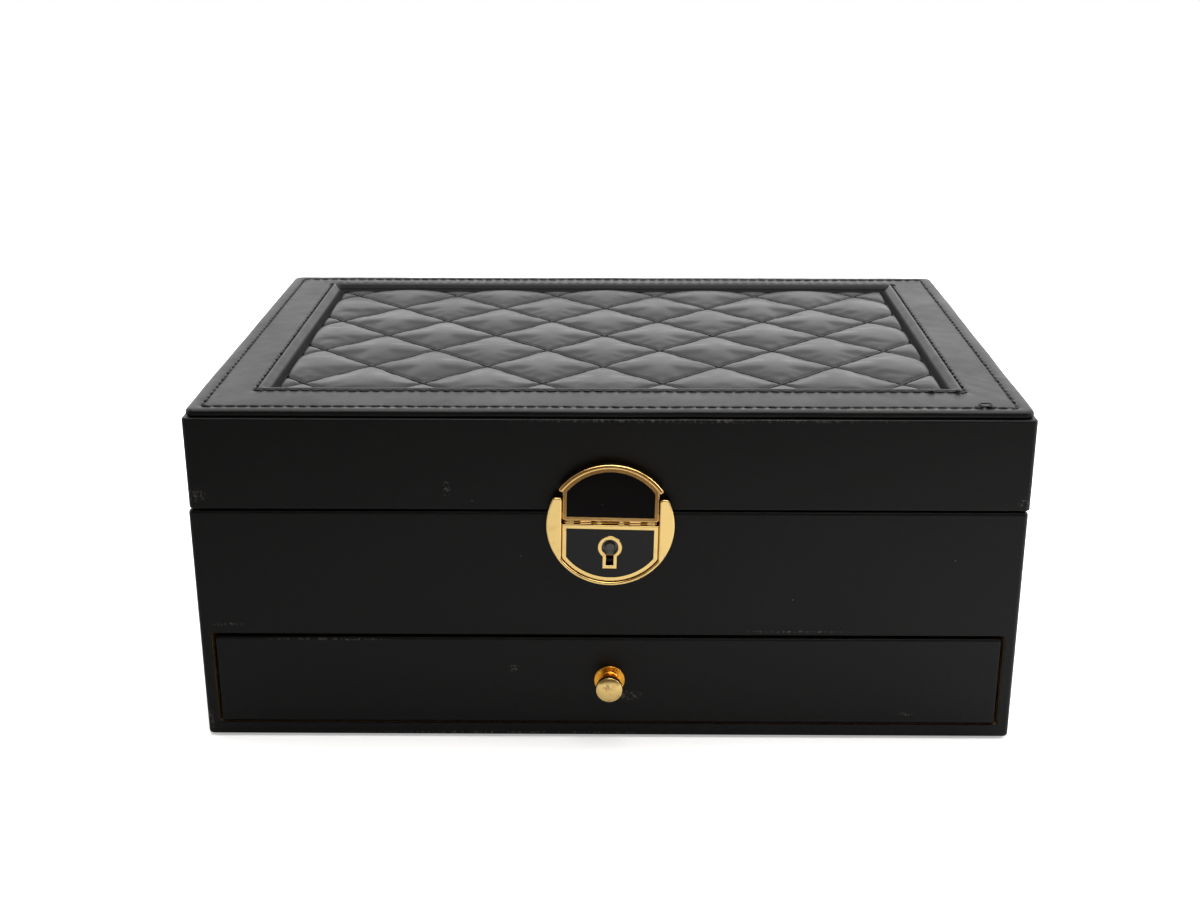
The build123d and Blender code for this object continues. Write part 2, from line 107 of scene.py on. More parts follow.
def ramp(tree, value, low, high, out_low=0.0, out_high=1.0):
    """Map a value from one range to another, clamped."""
    made = node(tree, "ShaderNodeMapRange", {"Value": value, "From Min": low, "From Max": high,
                                             "To Min": out_low, "To Max": out_high})
    return made.outputs["Result"]


def blend_colours(tree, factor, first, second):
    """Mix two colours by a factor that is a value or another node's output."""
    mix = node(tree, "ShaderNodeMix", data_type="RGBA")
    for number, value in ((0, factor), (6, first), (7, second)):
        if isinstance(value, bpy.types.NodeSocket):
            tree.links.new(value, mix.inputs[number])
        else:
            mix.inputs[number].default_value = value if number == 0 else (*value, 1)
    return mix.outputs[2]


# %% [markdown]
# Black leather has almost no colour of its own: what the eye reads is the room mirrored in it. The studio
# is built for its reflections. A bright white room stands behind and lights the lid at a low angle. The
# white floor ends a short way in front of the box, and past it the room is dark, so that the upright
# faces stay deep black while the flat gold still finds the floor to mirror.

# %% Studio: the room
ROOM_BEHIND = 1.65                          # brightness behind the box, and in front of it
ROOM_IN_FRONT = 0.1
WARM_DARK = (1.0, 0.88, 0.75)               # the tint of the dark side of the room
# each change of brightness: from and to which part of the direction, then the two brightnesses
FRONT_TO_BACK = (-0.5, 0.2)
LEFT_TO_RIGHT = (-0.5, 0.5, 0.85, 1.15)
LOW_TO_HIGH = (0.15, 0.6, 1.4, 0.5)


def make_world():
    world = bpy.data.worlds.new("studio")
    scene.world = world
    world.use_nodes = True
    tree = world.node_tree
    tree.nodes.clear()
    direction = node(tree, "ShaderNodeTexCoord").outputs["Generated"]
    split = node(tree, "ShaderNodeSeparateXYZ", {0: direction})
    facing = ramp(tree, split.outputs["Y"], *FRONT_TO_BACK)
    sides = ramp(tree, split.outputs["X"], *LEFT_TO_RIGHT)
    low_glow = ramp(tree, split.outputs["Z"], *LOW_TO_HIGH)
    depth = maths(tree, "MULTIPLY_ADD", facing, ROOM_BEHIND - ROOM_IN_FRONT, ROOM_IN_FRONT)
    bright = maths(tree, "MULTIPLY", maths(tree, "MULTIPLY", depth, sides), low_glow)
    tint = blend_colours(tree, facing, WARM_DARK, (1.0, 1.0, 1.0))
    room = node(tree, "ShaderNodeBackground", {"Color": tint, "Strength": bright})
    plain = node(tree, "ShaderNodeBackground", {"Color": (1, 1, 1, 1), "Strength": 1.0})
    seen = node(tree, "ShaderNodeLightPath").outputs["Is Camera Ray"]
    mix = node(tree, "ShaderNodeMixShader", {0: seen, 1: room.outputs[0], 2: plain.outputs[0]})
    node(tree, "ShaderNodeOutputWorld", {"Surface": mix.outputs[0]})


make_world()
print("room:", ROOM_BEHIND, "behind,", ROOM_IN_FRONT, "in front")

# %% Studio: the floor
FLOOR_FRONT = -385.0                        # where the white floor ends, in front of the box
FLOOR_BACK = 0.9                            # and behind it, in metres
FLOOR_REACH = 5.0                           # to each side, in metres
FLOOR_WHITE = 0.93
FLOOR_GLOW = 0.4                            # light added for the eye only, so that the floor stays white
FLOOR_MIRRORED = (-0.2, 0.25, 0.35, 0.8)    # from and to which x, in metres, then the two tones


def floor_material():
    """White to the eye, and a little darker towards the left in what the box mirrors of it."""
    material = bpy.data.materials.new("studio_floor")
    material.use_nodes = True
    tree = material.node_tree
    tree.nodes.clear()
    split = node(tree, "ShaderNodeSeparateXYZ", {0: node(tree, "ShaderNodeNewGeometry").outputs["Position"]})
    mirrored = ramp(tree, split.outputs["X"], *FLOOR_MIRRORED)
    seen = node(tree, "ShaderNodeLightPath").outputs["Is Camera Ray"]
    tone = maths(tree, "MAXIMUM", mirrored, maths(tree, "MULTIPLY", seen, FLOOR_WHITE))
    grey = node(tree, "ShaderNodeCombineColor", {0: tone, 1: tone, 2: tone}).outputs[0]
    shader = node(tree, "ShaderNodeBsdfDiffuse", {"Color": grey})
    glow = node(tree, "ShaderNodeEmission", {"Color": (1, 1, 1, 1),
                                             "Strength": maths(tree, "MULTIPLY", seen, FLOOR_GLOW)})
    both = node(tree, "ShaderNodeAddShader", {0: shader.outputs[0], 1: glow.outputs[0]})
    node(tree, "ShaderNodeOutputMaterial", {"Surface": both.outputs[0]})
    return material


def floor():
    """A level sheet of the studio, which is no part of the object."""
    front = FLOOR_FRONT * MM
    corners = [(-FLOOR_REACH, front, 0), (FLOOR_REACH, front, 0), (FLOOR_REACH, FLOOR_BACK, 0),
               (-FLOOR_REACH, FLOOR_BACK, 0)]
    mesh = bpy.data.meshes.new("floor")
    mesh.from_pydata(corners, [], [(0, 1, 2, 3)])
    sheet = bpy.data.objects.new("floor", mesh)
    mesh.materials.append(floor_material())
    scene.collection.objects.link(sheet)


floor()
print("floor from", FLOOR_FRONT, "mm, reaching", FLOOR_REACH, "m to each side")

# %% Studio: the lights
def area_light(name, place, aim, size, power):
    """A softbox; place, aim and size are in metres."""
    light = bpy.data.objects.new(name, bpy.data.lights.new(name, "AREA"))
    light.data.shape = "RECTANGLE"
    light.data.size, light.data.size_y = size
    light.data.energy = power
    light.location = place
    light.rotation_euler = (Vector(aim) - Vector(place)).to_track_quat("-Z", "Y").to_euler()
    scene.collection.objects.link(light)


area_light("overhead", (0.1, 0.1, 1.3), (0, 0, 0.0), (1.6, 1.2), 23.0)
area_light("right_window", (1.1, -0.1, 0.8), (0, 0, 0.05), (0.6, 0.6), 5.0)
scene.view_settings.view_transform = "Standard"

# %% [markdown]
# Several finishes share the same small effects, so each effect is a node group that is built once. A group
# only gives out masks, heights and tones; the Principled shader that uses them stays in each material.
# The groups read the piece's own coordinates in metres, so a scale of 1000 means one cell per millimetre.

# %% Helpers for groups and materials
def effect(name, inputs, outputs):
    """An empty shader group with named sockets; returns the tree and its input sockets."""
    tree = bpy.data.node_groups.new(name, "ShaderNodeTree")
    for label, kind, value in inputs:
        socket = tree.interface.new_socket(label, in_out="INPUT", socket_type=kind)
        if value is not None:
            socket.default_value = value
    for label in outputs:
        tree.interface.new_socket(label, in_out="OUTPUT", socket_type="NodeSocketFloat")
    return tree, node(tree, "NodeGroupInput").outputs


def give(tree, **values):
    """Link a group's results to its outputs."""
    node(tree, "NodeGroupOutput", {label.replace("_", " "): value for label, value in values.items()})


def use(tree, group, **values):
    """Place an effect in a material and return its outputs."""
    placed = node(tree, "ShaderNodeGroup", node_tree=group)
    for label, value in values.items():
        socket = placed.inputs[label.replace("_", " ")]
        if isinstance(value, bpy.types.NodeSocket):
            tree.links.new(value, socket)
        else:
            socket.default_value = value
    return placed.outputs


def noise_value(tree, coordinates, scale, detail=2.0, roughness=0.5):
    made = node(tree, "ShaderNodeTexNoise", {"Vector": coordinates, "Scale": scale, "Detail": detail,
                                             "Roughness": roughness})
    return made.outputs["Fac"]


VECTOR, FLOAT = "NodeSocketVector", "NodeSocketFloat"


# %% Leather grain: shallow pebbles with fine creases, and cloudy patches of polish
def make_leather_grain():
    tree, given = effect("leather_grain", [("Coordinates", VECTOR, None), ("Pebble", FLOAT, 1600.0)],
                         ["Height", "Cloud"])
    bend = noise_value(tree, given[0], 300.0)
    moved = node(tree, "ShaderNodeVectorMath", {0: bend, "Scale": 0.0006}, operation="SCALE").outputs[0]
    shifted = node(tree, "ShaderNodeVectorMath", {0: given[0], 1: moved}, operation="ADD")
    cells = node(tree, "ShaderNodeTexVoronoi", {"Vector": shifted.outputs[0], "Scale": given[1]},
                 feature="SMOOTH_F1")
    pebble = maths(tree, "SUBTRACT", 1.0, cells.outputs["Distance"])
    fine = noise_value(tree, given[0], 4200.0, 3.0)
    height = maths(tree, "MULTIPLY_ADD", fine, 0.35, pebble)
    cloud = maths(tree, "MULTIPLY_ADD", noise_value(tree, given[0], 28.0, 3.0, 0.6), 0.6,
                  maths(tree, "MULTIPLY", noise_value(tree, given[0], 160.0, 2.0), 0.4))
    give(tree, Height=height, Cloud=cloud)
    return tree


# %% Dust: a few specks of lint, each a different size, with most cells left empty
def make_dust():
    tree, given = effect("dust", [("Coordinates", VECTOR, None), ("Spacing", FLOAT, 120.0),
                                  ("Share", FLOAT, 0.3)], ["Specks"])
    bend = noise_value(tree, given[0], 900.0, 3.0)
    cells = node(tree, "ShaderNodeTexVoronoi", {"Vector": given[0], "Scale": given[1]})
    chance = node(tree, "ShaderNodeSeparateColor", {0: cells.outputs["Color"]})
    size = maths(tree, "MULTIPLY_ADD", chance.outputs["Green"], 0.045, 0.012)
    ragged = maths(tree, "MULTIPLY", size, maths(tree, "MULTIPLY_ADD", bend, 1.6, 0.2))
    inside = maths(tree, "LESS_THAN", cells.outputs["Distance"], ragged)
    kept = maths(tree, "LESS_THAN", chance.outputs["Red"], given[2])
    strength = maths(tree, "MULTIPLY_ADD", chance.outputs["Blue"], 0.7, 0.3)
    give(tree, Specks=maths(tree, "MULTIPLY", maths(tree, "MULTIPLY", inside, kept), strength))
    return tree


# %% Rub and highlight mark: one broken smear at a chosen place, used for real rubs and stains and for painted edge highlights
def make_rub_and_highlight_mark():
    tree, given = effect("rub_and_highlight_mark", [("Coordinates", VECTOR, None), ("Centre", VECTOR, None),
                                      ("Reach", VECTOR, None), ("Grit", FLOAT, 900.0)], ["Mark"])
    away = node(tree, "ShaderNodeVectorMath", {0: given[0], 1: given[1]}, operation="SUBTRACT")
    scaled = node(tree, "ShaderNodeVectorMath", {0: away.outputs[0], 1: given[2]}, operation="DIVIDE")
    length = node(tree, "ShaderNodeVectorMath", {0: scaled.outputs[0]}, operation="LENGTH")
    fade = ramp(tree, length.outputs["Value"], 0.35, 1.0, 1.0, 0.0)
    broken = ramp(tree, noise_value(tree, given[0], given[3], 4.0, 0.7), 0.5, 0.62)
    give(tree, Mark=maths(tree, "MULTIPLY", fade, broken))
    return tree


# %% Tarnish: dull blots and pin-point pits on polished metal
def make_tarnish():
    tree, given = effect("tarnish", [("Coordinates", VECTOR, None), ("Blot", FLOAT, 450.0)],
                         ["Blots", "Pits", "Drift"])
    blots = ramp(tree, noise_value(tree, given[0], given[1], 5.0, 0.62), 0.54, 0.72)
    pits = ramp(tree, noise_value(tree, given[0], 2600.0, 2.0, 0.6), 0.68, 0.76)
    drift = noise_value(tree, given[0], 90.0, 2.0)
    give(tree, Blots=blots, Pits=pits, Drift=drift)
    return tree


# %% Nap: the short brushed pile of velvet and felt
def make_nap():
    tree, given = effect("nap", [("Coordinates", VECTOR, None), ("Fibre", FLOAT, 5000.0)],
                         ["Height", "Brushed"])
    fibre = noise_value(tree, given[0], given[1], 3.0, 0.7)
    brushed = ramp(tree, noise_value(tree, given[0], 70.0, 3.0, 0.55), 0.35, 0.65)
    give(tree, Height=fibre, Brushed=brushed)
    return tree


leather_grain = make_leather_grain()
dust = make_dust()
rub_and_highlight_mark = make_rub_and_highlight_mark()
tarnish = make_tarnish()
nap = make_nap()
print("effects:", [group.name for group in bpy.data.node_groups])


# %% [markdown]
# Every material starts the same way: a Principled shader, the piece's coordinates, and the numbers that
# are the same all over the surface set straight on the shader's own sockets.

# %% Start of a material
def begin(name, roughness=0.5, **constants):
    material = bpy.data.materials.new(name)
    material.use_nodes = True
    tree = material.node_tree
    shader = tree.nodes["Principled BSDF"]
    shader.inputs["Roughness"].default_value = roughness
    for label, value in constants.items():
        shader.inputs[label.replace("_", " ")].default_value = value
    place = node(tree, "ShaderNodeTexCoord").outputs["Object"]
    return material, tree, shader, place


def relief(tree, shader, height, depth, strength=1.0):
    """Feed a height to the shader's normal; depth is in millimetres."""
    bump = node(tree, "ShaderNodeBump", {"Height": height, "Distance": depth * MM, "Strength": strength})
    tree.links.new(bump.outputs["Normal"], shader.inputs["Normal"])


# %% [markdown]
# The covering is smooth black artificial leather on paper backing. It needs a very dark body, a broad
# gloss that stays weak when seen square on, a fine grain and a cloudy change of polish. Handling leaves
# specks of lint and a few pale rubs. The long thin pale lines along the edges are painted highlights, made
# like the rubs. Both sit in fixed places, so each is stated where it is.

# %% Leather
CREASE = "crease"       # on a mesh, 1 where the leather lies in a crease and never gets polished
LEATHER_BLACK = (0.0052, 0.0050, 0.0050)
DUST_AND_HIGHLIGHT_GREY = (0.17, 0.165, 0.15)
# pale marks at fixed places, each a centre and a reach: the small patches are rubs, the long thin lines along
# the edges are painted highlights
RUBS_AND_EDGE_HIGHLIGHTS = {
    "case_leather": [((-121, -90, 40.2), (7, 4, 0.8)), ((60, -90, 38.2), (20, 4, 0.5)),
                     ((-129, -90, 6), (1.6, 3, 5)), ((-30, -90, 1.6), (60, 3, 0.8))],
    "lid_leather": [((-127, -90, 84), (4.0, 4, 2.6)), ((-49.6, -90, 86.2), (1.3, 4, 3.2)),
                    ((128, -90, 82), (2, 4, 2.5)), ((30, -90, 108.4), (70, 2, 0.7))],
    "drawer_leather": [((6.4, -90, 15.4), (5.6, 4, 1.9)), ((-88, -90, 35.0), (24, 2, 0.5)),
                       ((96, -90, 9), (3, 4, 0.8)), ((-30, -90, 25), (2.5, 4, 1.4))],
    "panel_leather": [((-60, -86, 111), (30, 1.5, 3)), ((90, -87, 111), (25, 1.5, 3))],
}


def leather(name, grain=1500.0, depth=0.035, roughness=0.4, specks=0.22, gloss=0.2):
    material, tree, shader, place = begin(name, roughness, Specular_IOR_Level=gloss)
    surface = use(tree, leather_grain, Coordinates=place, Pebble=grain)
    lint_rubs_and_highlights = use(tree, dust, Coordinates=place, Spacing=140.0, Share=specks)["Specks"]
    # rubs and painted edge highlights, both pale and matt
    for centre, reach in RUBS_AND_EDGE_HIGHLIGHTS.get(name, []):
        mark = use(tree, rub_and_highlight_mark, Coordinates=place, Centre=Vector(centre) * MM, Reach=Vector(reach) * MM)
        lint_rubs_and_highlights = maths(tree, "MAXIMUM", lint_rubs_and_highlights, mark["Mark"])
    body = blend_colours(tree, surface["Cloud"], tuple(v * 0.6 for v in LEATHER_BLACK),
                         tuple(v * 1.5 for v in LEATHER_BLACK))
    # lint, rubs and painted edge highlights turn the black towards grey
    colour = blend_colours(tree, maths(tree, "MULTIPLY", lint_rubs_and_highlights, 0.55), body, DUST_AND_HIGHLIGHT_GREY)
    tree.links.new(colour, shader.inputs["Base Color"])
    polish = ramp(tree, surface["Cloud"], 0.3, 0.7, roughness - 0.05, roughness + 0.06)
    crease = node(tree, "ShaderNodeAttribute")
    crease.attribute_name = CREASE
    matt = maths(tree, "MAXIMUM", crease.outputs["Fac"], maths(tree, "MULTIPLY", lint_rubs_and_highlights, 0.8))
    tree.links.new(maths(tree, "MAXIMUM", polish, matt), shader.inputs["Roughness"])
    relief(tree, shader, surface["Height"], depth)
    return material


# %% [markdown]
# The latch, knob and hinges are zinc castings with bright gold plating. A plated surface is a metal, so
# its colour goes in the base colour. Fingerprints and worn plating make duller, browner blots. Where the
# gold goes back into a groove or a neck, a painted colour stands in for light: painted shade in the
# lock's grooves, and a painted orange glow of gold mirrored in gold on the knob's neck and flange.

# %% Metals
GOLD = (0.96, 0.68, 0.26)
WORN_GOLD = (0.55, 0.33, 0.10)
HANDLED_GOLD = (0.48, 0.33, 0.16)
STEEL = (0.36, 0.36, 0.35)


def metal(name, bright, dull, roughness, blot=450.0, wear=0.4, painted_recess_light=None, stain=None):
    """Plated metal. The painted recess light is where, going back from the front, a painted colour begins and
    is full: painted shade in the lock, a painted glow on the knob.
    """
    material, tree, shader, place = begin(name, roughness, Metallic=1.0)
    worn = use(tree, tarnish, Coordinates=place, Blot=blot)
    amount = maths(tree, "MULTIPLY", worn["Blots"], wear)
    tone = blend_colours(tree, maths(tree, "MAXIMUM", amount, maths(tree, "MULTIPLY", worn["Pits"], wear)),
                         bright, dull)
    if stain:
        centre, reach = stain
        mark = use(tree, rub_and_highlight_mark, Coordinates=place, Centre=Vector(centre) * MM, Reach=Vector(reach) * MM)
        tone = blend_colours(tree, mark["Mark"], tone, HANDLED_GOLD)
    # painted light: from this depth back, the base colour becomes the painted shade or painted glow that the
    # call gives
    if painted_recess_light:
        begins, full, deep = painted_recess_light
        depth = node(tree, "ShaderNodeSeparateXYZ", {0: place}).outputs["Y"]
        tone = blend_colours(tree, ramp(tree, depth, begins * MM, full * MM), tone, deep)
    tree.links.new(tone, shader.inputs["Base Color"])
    rough = maths(tree, "MULTIPLY_ADD", amount, 0.25, roughness)
    tree.links.new(maths(tree, "MULTIPLY_ADD", worn["Drift"], 0.06, rough), shader.inputs["Roughness"])
    relief(tree, shader, worn["Blots"], 0.01, 0.6)
    return material


# %% [markdown]
# Enamel is a thick black gloss with a few specks caught in it. The mirror is a metal with hardly any
# roughness. Sewing thread is waxed and twisted, so a diagonal wave gives it its ply.

# %% Enamel, mirror glass and thread
def enamel(name):
    material, tree, shader, place = begin(name, 0.12, Specular_IOR_Level=0.28)
    worn = use(tree, tarnish, Coordinates=place, Blot=700.0)
    specks = use(tree, dust, Coordinates=place, Spacing=420.0, Share=0.35)["Specks"]
    tree.links.new(blend_colours(tree, maths(tree, "MULTIPLY", specks, 0.4), (0.004, 0.004, 0.0045),
                                 DUST_AND_HIGHLIGHT_GREY), shader.inputs["Base Color"])
    tree.links.new(maths(tree, "MULTIPLY_ADD", worn["Drift"], 0.08, 0.06), shader.inputs["Roughness"])
    return material


def mirror_glass(name):
    material, tree, shader, place = begin(name, 0.03, Metallic=1.0)
    worn = use(tree, tarnish, Coordinates=place, Blot=60.0)
    tree.links.new(blend_colours(tree, worn["Drift"], (0.86, 0.88, 0.87), (0.80, 0.83, 0.82)),
                   shader.inputs["Base Color"])
    tree.links.new(maths(tree, "MULTIPLY_ADD", worn["Blots"], 0.05, 0.02), shader.inputs["Roughness"])
    return material


def thread(name):
    material, tree, shader, place = begin(name, 0.5, Specular_IOR_Level=0.4)
    ply = node(tree, "ShaderNodeTexWave", {"Vector": place, "Scale": 1400.0, "Distortion": 2.0},
               bands_direction="DIAGONAL")
    tree.links.new(blend_colours(tree, ply.outputs["Fac"], (0.0015, 0.0015, 0.0016),
                                 (0.006, 0.006, 0.0065)), shader.inputs["Base Color"])
    relief(tree, shader, ply.outputs["Fac"], 0.05)
    return material


# %% [markdown]
# Velvet and felt scatter light in their pile. The sheen of the Principled shader gives the pale edge of a
# pile, and a slow noise shows where a hand has brushed it the other way. The boards are cut edges of
# pressed fibre, seen only inside and underneath.

# %% Pile fabrics and boards
def pile(name, low, high, sheen, fibre=5200.0, depth=0.12):
    material, tree, shader, place = begin(name, 0.9, Specular_IOR_Level=0.2, Sheen_Weight=sheen,
                                          Sheen_Roughness=0.35)
    brushed = use(tree, nap, Coordinates=place, Fibre=fibre)
    tree.links.new(blend_colours(tree, brushed["Brushed"], low, high), shader.inputs["Base Color"])
    relief(tree, shader, brushed["Height"], depth)
    return material


def fibre_board(name, low, high, fleck=900.0):
    material, tree, shader, place = begin(name, 0.85, Specular_IOR_Level=0.25)
    flecks = noise_value(tree, place, fleck, 6.0, 0.7)
    tree.links.new(blend_colours(tree, ramp(tree, flecks, 0.35, 0.65), low, high),
                   shader.inputs["Base Color"])
    relief(tree, shader, flecks, 0.08)
    return material


# %% [markdown]
# Now each finish is mixed once. The leathers differ in where their rubs and painted edge highlights lie and
# in their grain, and the golds in how worn they are, in the painted shade and painted glow of their
# recesses, and in the painted orange reflection of the latch.

# %% All the finishes
materials = {
    "case_leather": leather("case_leather"),
    "lid_leather": leather("lid_leather"),
    "drawer_leather": leather("drawer_leather"),
    "panel_leather": leather("panel_leather", specks=0.3),
    "quilt_leather": leather("quilt_leather", grain=1900.0, depth=0.02, roughness=0.36, specks=0.2,
                             gloss=0.24),
    "gold": metal("gold", GOLD, WORN_GOLD, 0.13),
    # the lock's gold: painted dark brown shade in its grooves, behind the plates' fronts
    "lock_gold": metal("lock_gold", GOLD, WORN_GOLD, 0.12, 300.0, 0.25,
                       painted_recess_light=(-93.45, -93.0, (0.30, 0.12, 0.025))),
    # the latch's gold: the same plating painted more orange, a painted reflection of gold mirrored in gold on
    # its rims and lip
    "latch_gold_painted_reflection": metal("latch_gold_painted_reflection", (0.98, 0.60, 0.22), WORN_GOLD, 0.13, 300.0, 0.35),
    # the knob's gold: a painted orange glow of gold mirrored in gold on its neck and flange; the stain on its
    # button is real handling
    "knob_gold": metal("knob_gold", GOLD, WORN_GOLD, 0.2, 420.0, 0.5,
                       painted_recess_light=(-96.4, -95.4, (0.95, 0.44, 0.05)),
                       stain=((0.1, -98.6, 22.4), (2.2, 2.0, 2.0))),
    "dark_gold": metal("dark_gold", (0.62, 0.30, 0.06), (0.25, 0.11, 0.03), 0.25),
    "steel": metal("steel", STEEL, (0.12, 0.11, 0.10), 0.24),
    "key_steel": metal("key_steel", (0.11, 0.11, 0.108), (0.05, 0.045, 0.04), 0.34, 900.0),
    "blackened_steel": metal("blackened_steel", (0.025, 0.022, 0.02), (0.06, 0.035, 0.015), 0.45),
    "enamel": enamel("enamel"),
    "mirror_glass": mirror_glass("mirror_glass"),
    "thread": thread("thread"),
    "velvet": pile("velvet", (0.011, 0.010, 0.010), (0.026, 0.024, 0.024), 0.35),
    "cushion_velvet": pile("cushion_velvet", (0.013, 0.012, 0.012), (0.03, 0.028, 0.028), 0.45),
    "felt": pile("felt", (0.008, 0.008, 0.008), (0.018, 0.018, 0.018), 0.2, 3000.0, 0.2),
    "fibreboard": fibre_board("fibreboard", (0.20, 0.12, 0.06), (0.36, 0.24, 0.13)),
    "backing_board": fibre_board("backing_board", (0.004, 0.004, 0.004), (0.012, 0.011, 0.010), 1300.0),
    "greyboard": fibre_board("greyboard", (0.20, 0.19, 0.17), (0.34, 0.32, 0.29), 1300.0),
}
print("materials:", len(materials))

# %% [markdown]
# A CAD node keeps its mesh and only changes its material. Most pieces wear the finish that their slot
# names. A few wear one of their own, because their rubs and painted edge highlights sit elsewhere, their
# metal is darker, or their gold carries painted shade, a painted glow or a painted reflection.

# %% Which piece wears which finish
OWN_FINISH = {"case_cover": "case_leather", "lid_cover": "lid_leather",
              "drawer_front_cover": "drawer_leather", "lid_frame_cover": "panel_leather",
              "quilted_pad": "quilt_leather", "key_plug": "key_steel", "lock_bolt": "blackened_steel",
              "pad_backing": "backing_board", "lid_top_board": "backing_board",
              "lid_frame_spacer": "backing_board", "lever_pin": "dark_gold", "lock_frame": "lock_gold",
              "lock_face": "lock_gold", "latch_lever": "latch_gold_painted_reflection"}

for part in frame["record"]["subparts"]:
    dressed = nodes[part["node"]].data
    dressed.materials.clear()
    dressed.materials.append(materials[OWN_FINISH.get(part["node"], part["material_slot"])])

# %% [markdown]
# The new pieces are meshes written point by point. These helpers put a finished mesh in the scene on the
# body that it moves with, turn what a modifier or a curve makes into a plain mesh, and mend a closed shell
# so that its faces point outwards.

# %% Helpers for meshes
def keep_piece(name, mesh, body):
    """Put a finished mesh in the scene, riding on a CAD body."""
    piece = bpy.data.objects.new(name, mesh)
    scene.collection.objects.link(piece)
    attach(piece, body)
    return piece


def new_piece(name, vertices, faces, material, body):
    """A smooth piece from its points and faces."""
    mesh = bpy.data.meshes.new(name)
    mesh.from_pydata(vertices, [], faces)
    mesh.materials.append(material)
    mesh.shade_smooth()
    return keep_piece(name, mesh, body)


def plain_mesh(source):
    """What an object's modifiers, or a curve's section, make of it, as a mesh of its own."""
    return bpy.data.meshes.new_from_object(source.evaluated_get(bpy.context.evaluated_depsgraph_get()))


def tube_faces(first, rows, steps):
    """Faces of a closed tube made of rings of points: its bands, then a cap at each end."""
    faces = []
    for row_number in range(rows - 1):
        for step in range(steps):
            a = first + row_number * steps + step
            b = first + row_number * steps + (step + 1) % steps
            faces.append((a, b, b + steps, a + steps))
    last = first + (rows - 1) * steps
    faces.append(tuple(first + step for step in reversed(range(steps))))
    faces.append(tuple(last + step for step in range(steps)))
    return faces


def face_outwards(mesh):
    """Merge doubles and turn every face of a closed shell outwards."""
    work = bmesh.new()
    work.from_mesh(mesh)
    bmesh.ops.remove_doubles(work, verts=work.verts, dist=1e-6)
    bmesh.ops.recalc_face_normals(work, faces=work.faces)
    work.to_mesh(mesh)
    work.free()


def triangles(mesh):
    return sum(len(face.vertices) - 2 for face in mesh.polygons)


def waver(x, y, size, depth):
    """A smooth random offset in millimetres; size is the length of one wave."""
    return depth * noise.noise(Vector((x / size, y / size, 7.3)))


# %% [markdown]
# The leather panel on the lid is one sheet stretched over greyboard. Its outer edge is turned under, and
# its inner edge is rolled over a cord into a soft bead round the pad. Two rows of stitches pull it down.
# The shape follows a rule: a section, carried round a rectangle. So the rule is written as a list of
# stations from the outer edge to the inner one, and each station becomes one ring of points. A small
# noise makes the edge waver as a hand-turned edge does.

# %% The rectangle that every ring of the lid follows
LID_SHIFT = 0.35
STITCH_PITCH = 3.7
panel_low, panel_high = (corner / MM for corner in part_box("lid_frame_cover"))
pad_low, pad_high = (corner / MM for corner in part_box("quilted_pad"))
PAD_GAP = 1.2
CORNER_STEPS = 6
SIDE_STEPS = (170, 250, 170, 250)
opening = {"x": (pad_high.x - pad_low.x) / 2 + PAD_GAP, "front": pad_low.y - PAD_GAP,
           "back": pad_high.y + PAD_GAP}
outside = {"x": (panel_high.x - panel_low.x) / 2, "front": panel_low.y, "back": panel_high.y}


def grown(rectangle, by):
    return {"x": rectangle["x"] + by, "front": rectangle["front"] - by, "back": rectangle["back"] + by}


def ring(rectangle, radius, steps):
    """Points round a rectangle with round corners; the same step is at the same place on every ring."""
    x, front, back = rectangle["x"], rectangle["front"], rectangle["back"]
    corners = [((x, front), -90), ((x, back), 0), ((-x, back), 90), ((-x, front), 180)]
    points = []
    for (cx, cy), start in corners:
        middle = Vector((cx - math.copysign(radius, cx), cy - (radius if cy == back else -radius)))
        for step in range(CORNER_STEPS + 1):
            angle = math.radians(start + 90 * step / CORNER_STEPS)
            points.append(middle + radius * Vector((math.cos(angle), math.sin(angle))))
    walked = []
    for index, point in enumerate(points):
        nearby = points[(index + 1) % len(points)]
        count = 1 if (index + 1) % (CORNER_STEPS + 1) else steps[index // (CORNER_STEPS + 1)]
        walked.extend(point.lerp(nearby, step / count) for step in range(count))
    return walked


print("opening", opening, "outside", outside)

# %% The leather panel with its rolled bead
PANEL_TOP = panel_high.z
UNDERSIDE = panel_low.z - panel_high.z  # counted from the panel's top, so it is below zero
OUTER_ROW = 4.4
INNER_ROW = 5.7
STATIONS = [
    # from the outer edge: how far in, height above the panel's top, corner radius
    (outside, 1.3, UNDERSIDE + 0.02, 2.0), (outside, 0.6, UNDERSIDE + 0.1, 2.4),
    (outside, 0.15, UNDERSIDE + 0.45, 2.8), (outside, 0.0, -1.3, 3.0),
    (outside, 0.06, -0.75, 3.0), (outside, 0.3, -0.3, 2.8), (outside, 0.75, -0.06, 2.6),
    (outside, 1.4, 0.02, 2.4), (outside, 2.6, 0.05, 2.0), (outside, 3.6, 0.0, 1.6),
    (outside, 4.1, -0.18, 1.3), (outside, OUTER_ROW, -0.28, 1.1), (outside, 4.7, -0.18, 1.0),
    (outside, 5.1, -0.03, 0.9), (outside, 5.6, 0.0, 0.8),
    # from the opening: how far out
    (opening, -6.9, 0.0, 0.7), (opening, -6.4, -0.04, 0.7), (opening, -6.0, -0.22, 0.7),
    (opening, -INNER_ROW, -0.38, 0.7), (opening, -5.2, -0.3, 0.8), (opening, -4.95, -0.05, 0.9),
    (opening, -4.7, 0.32, 1.0), (opening, -4.2, 0.42, 1.1), (opening, -3.6, 0.34, 1.1),
    (opening, -2.9, 0.02, 1.0), (opening, -2.1, -0.55, 0.9), (opening, -1.2, -1.3, 0.8),
    (opening, -0.4, -2.2, 0.7), (opening, 0.0, -2.9, 0.7),
    (opening, 0.0, UNDERSIDE - 1.6, 0.7),
]
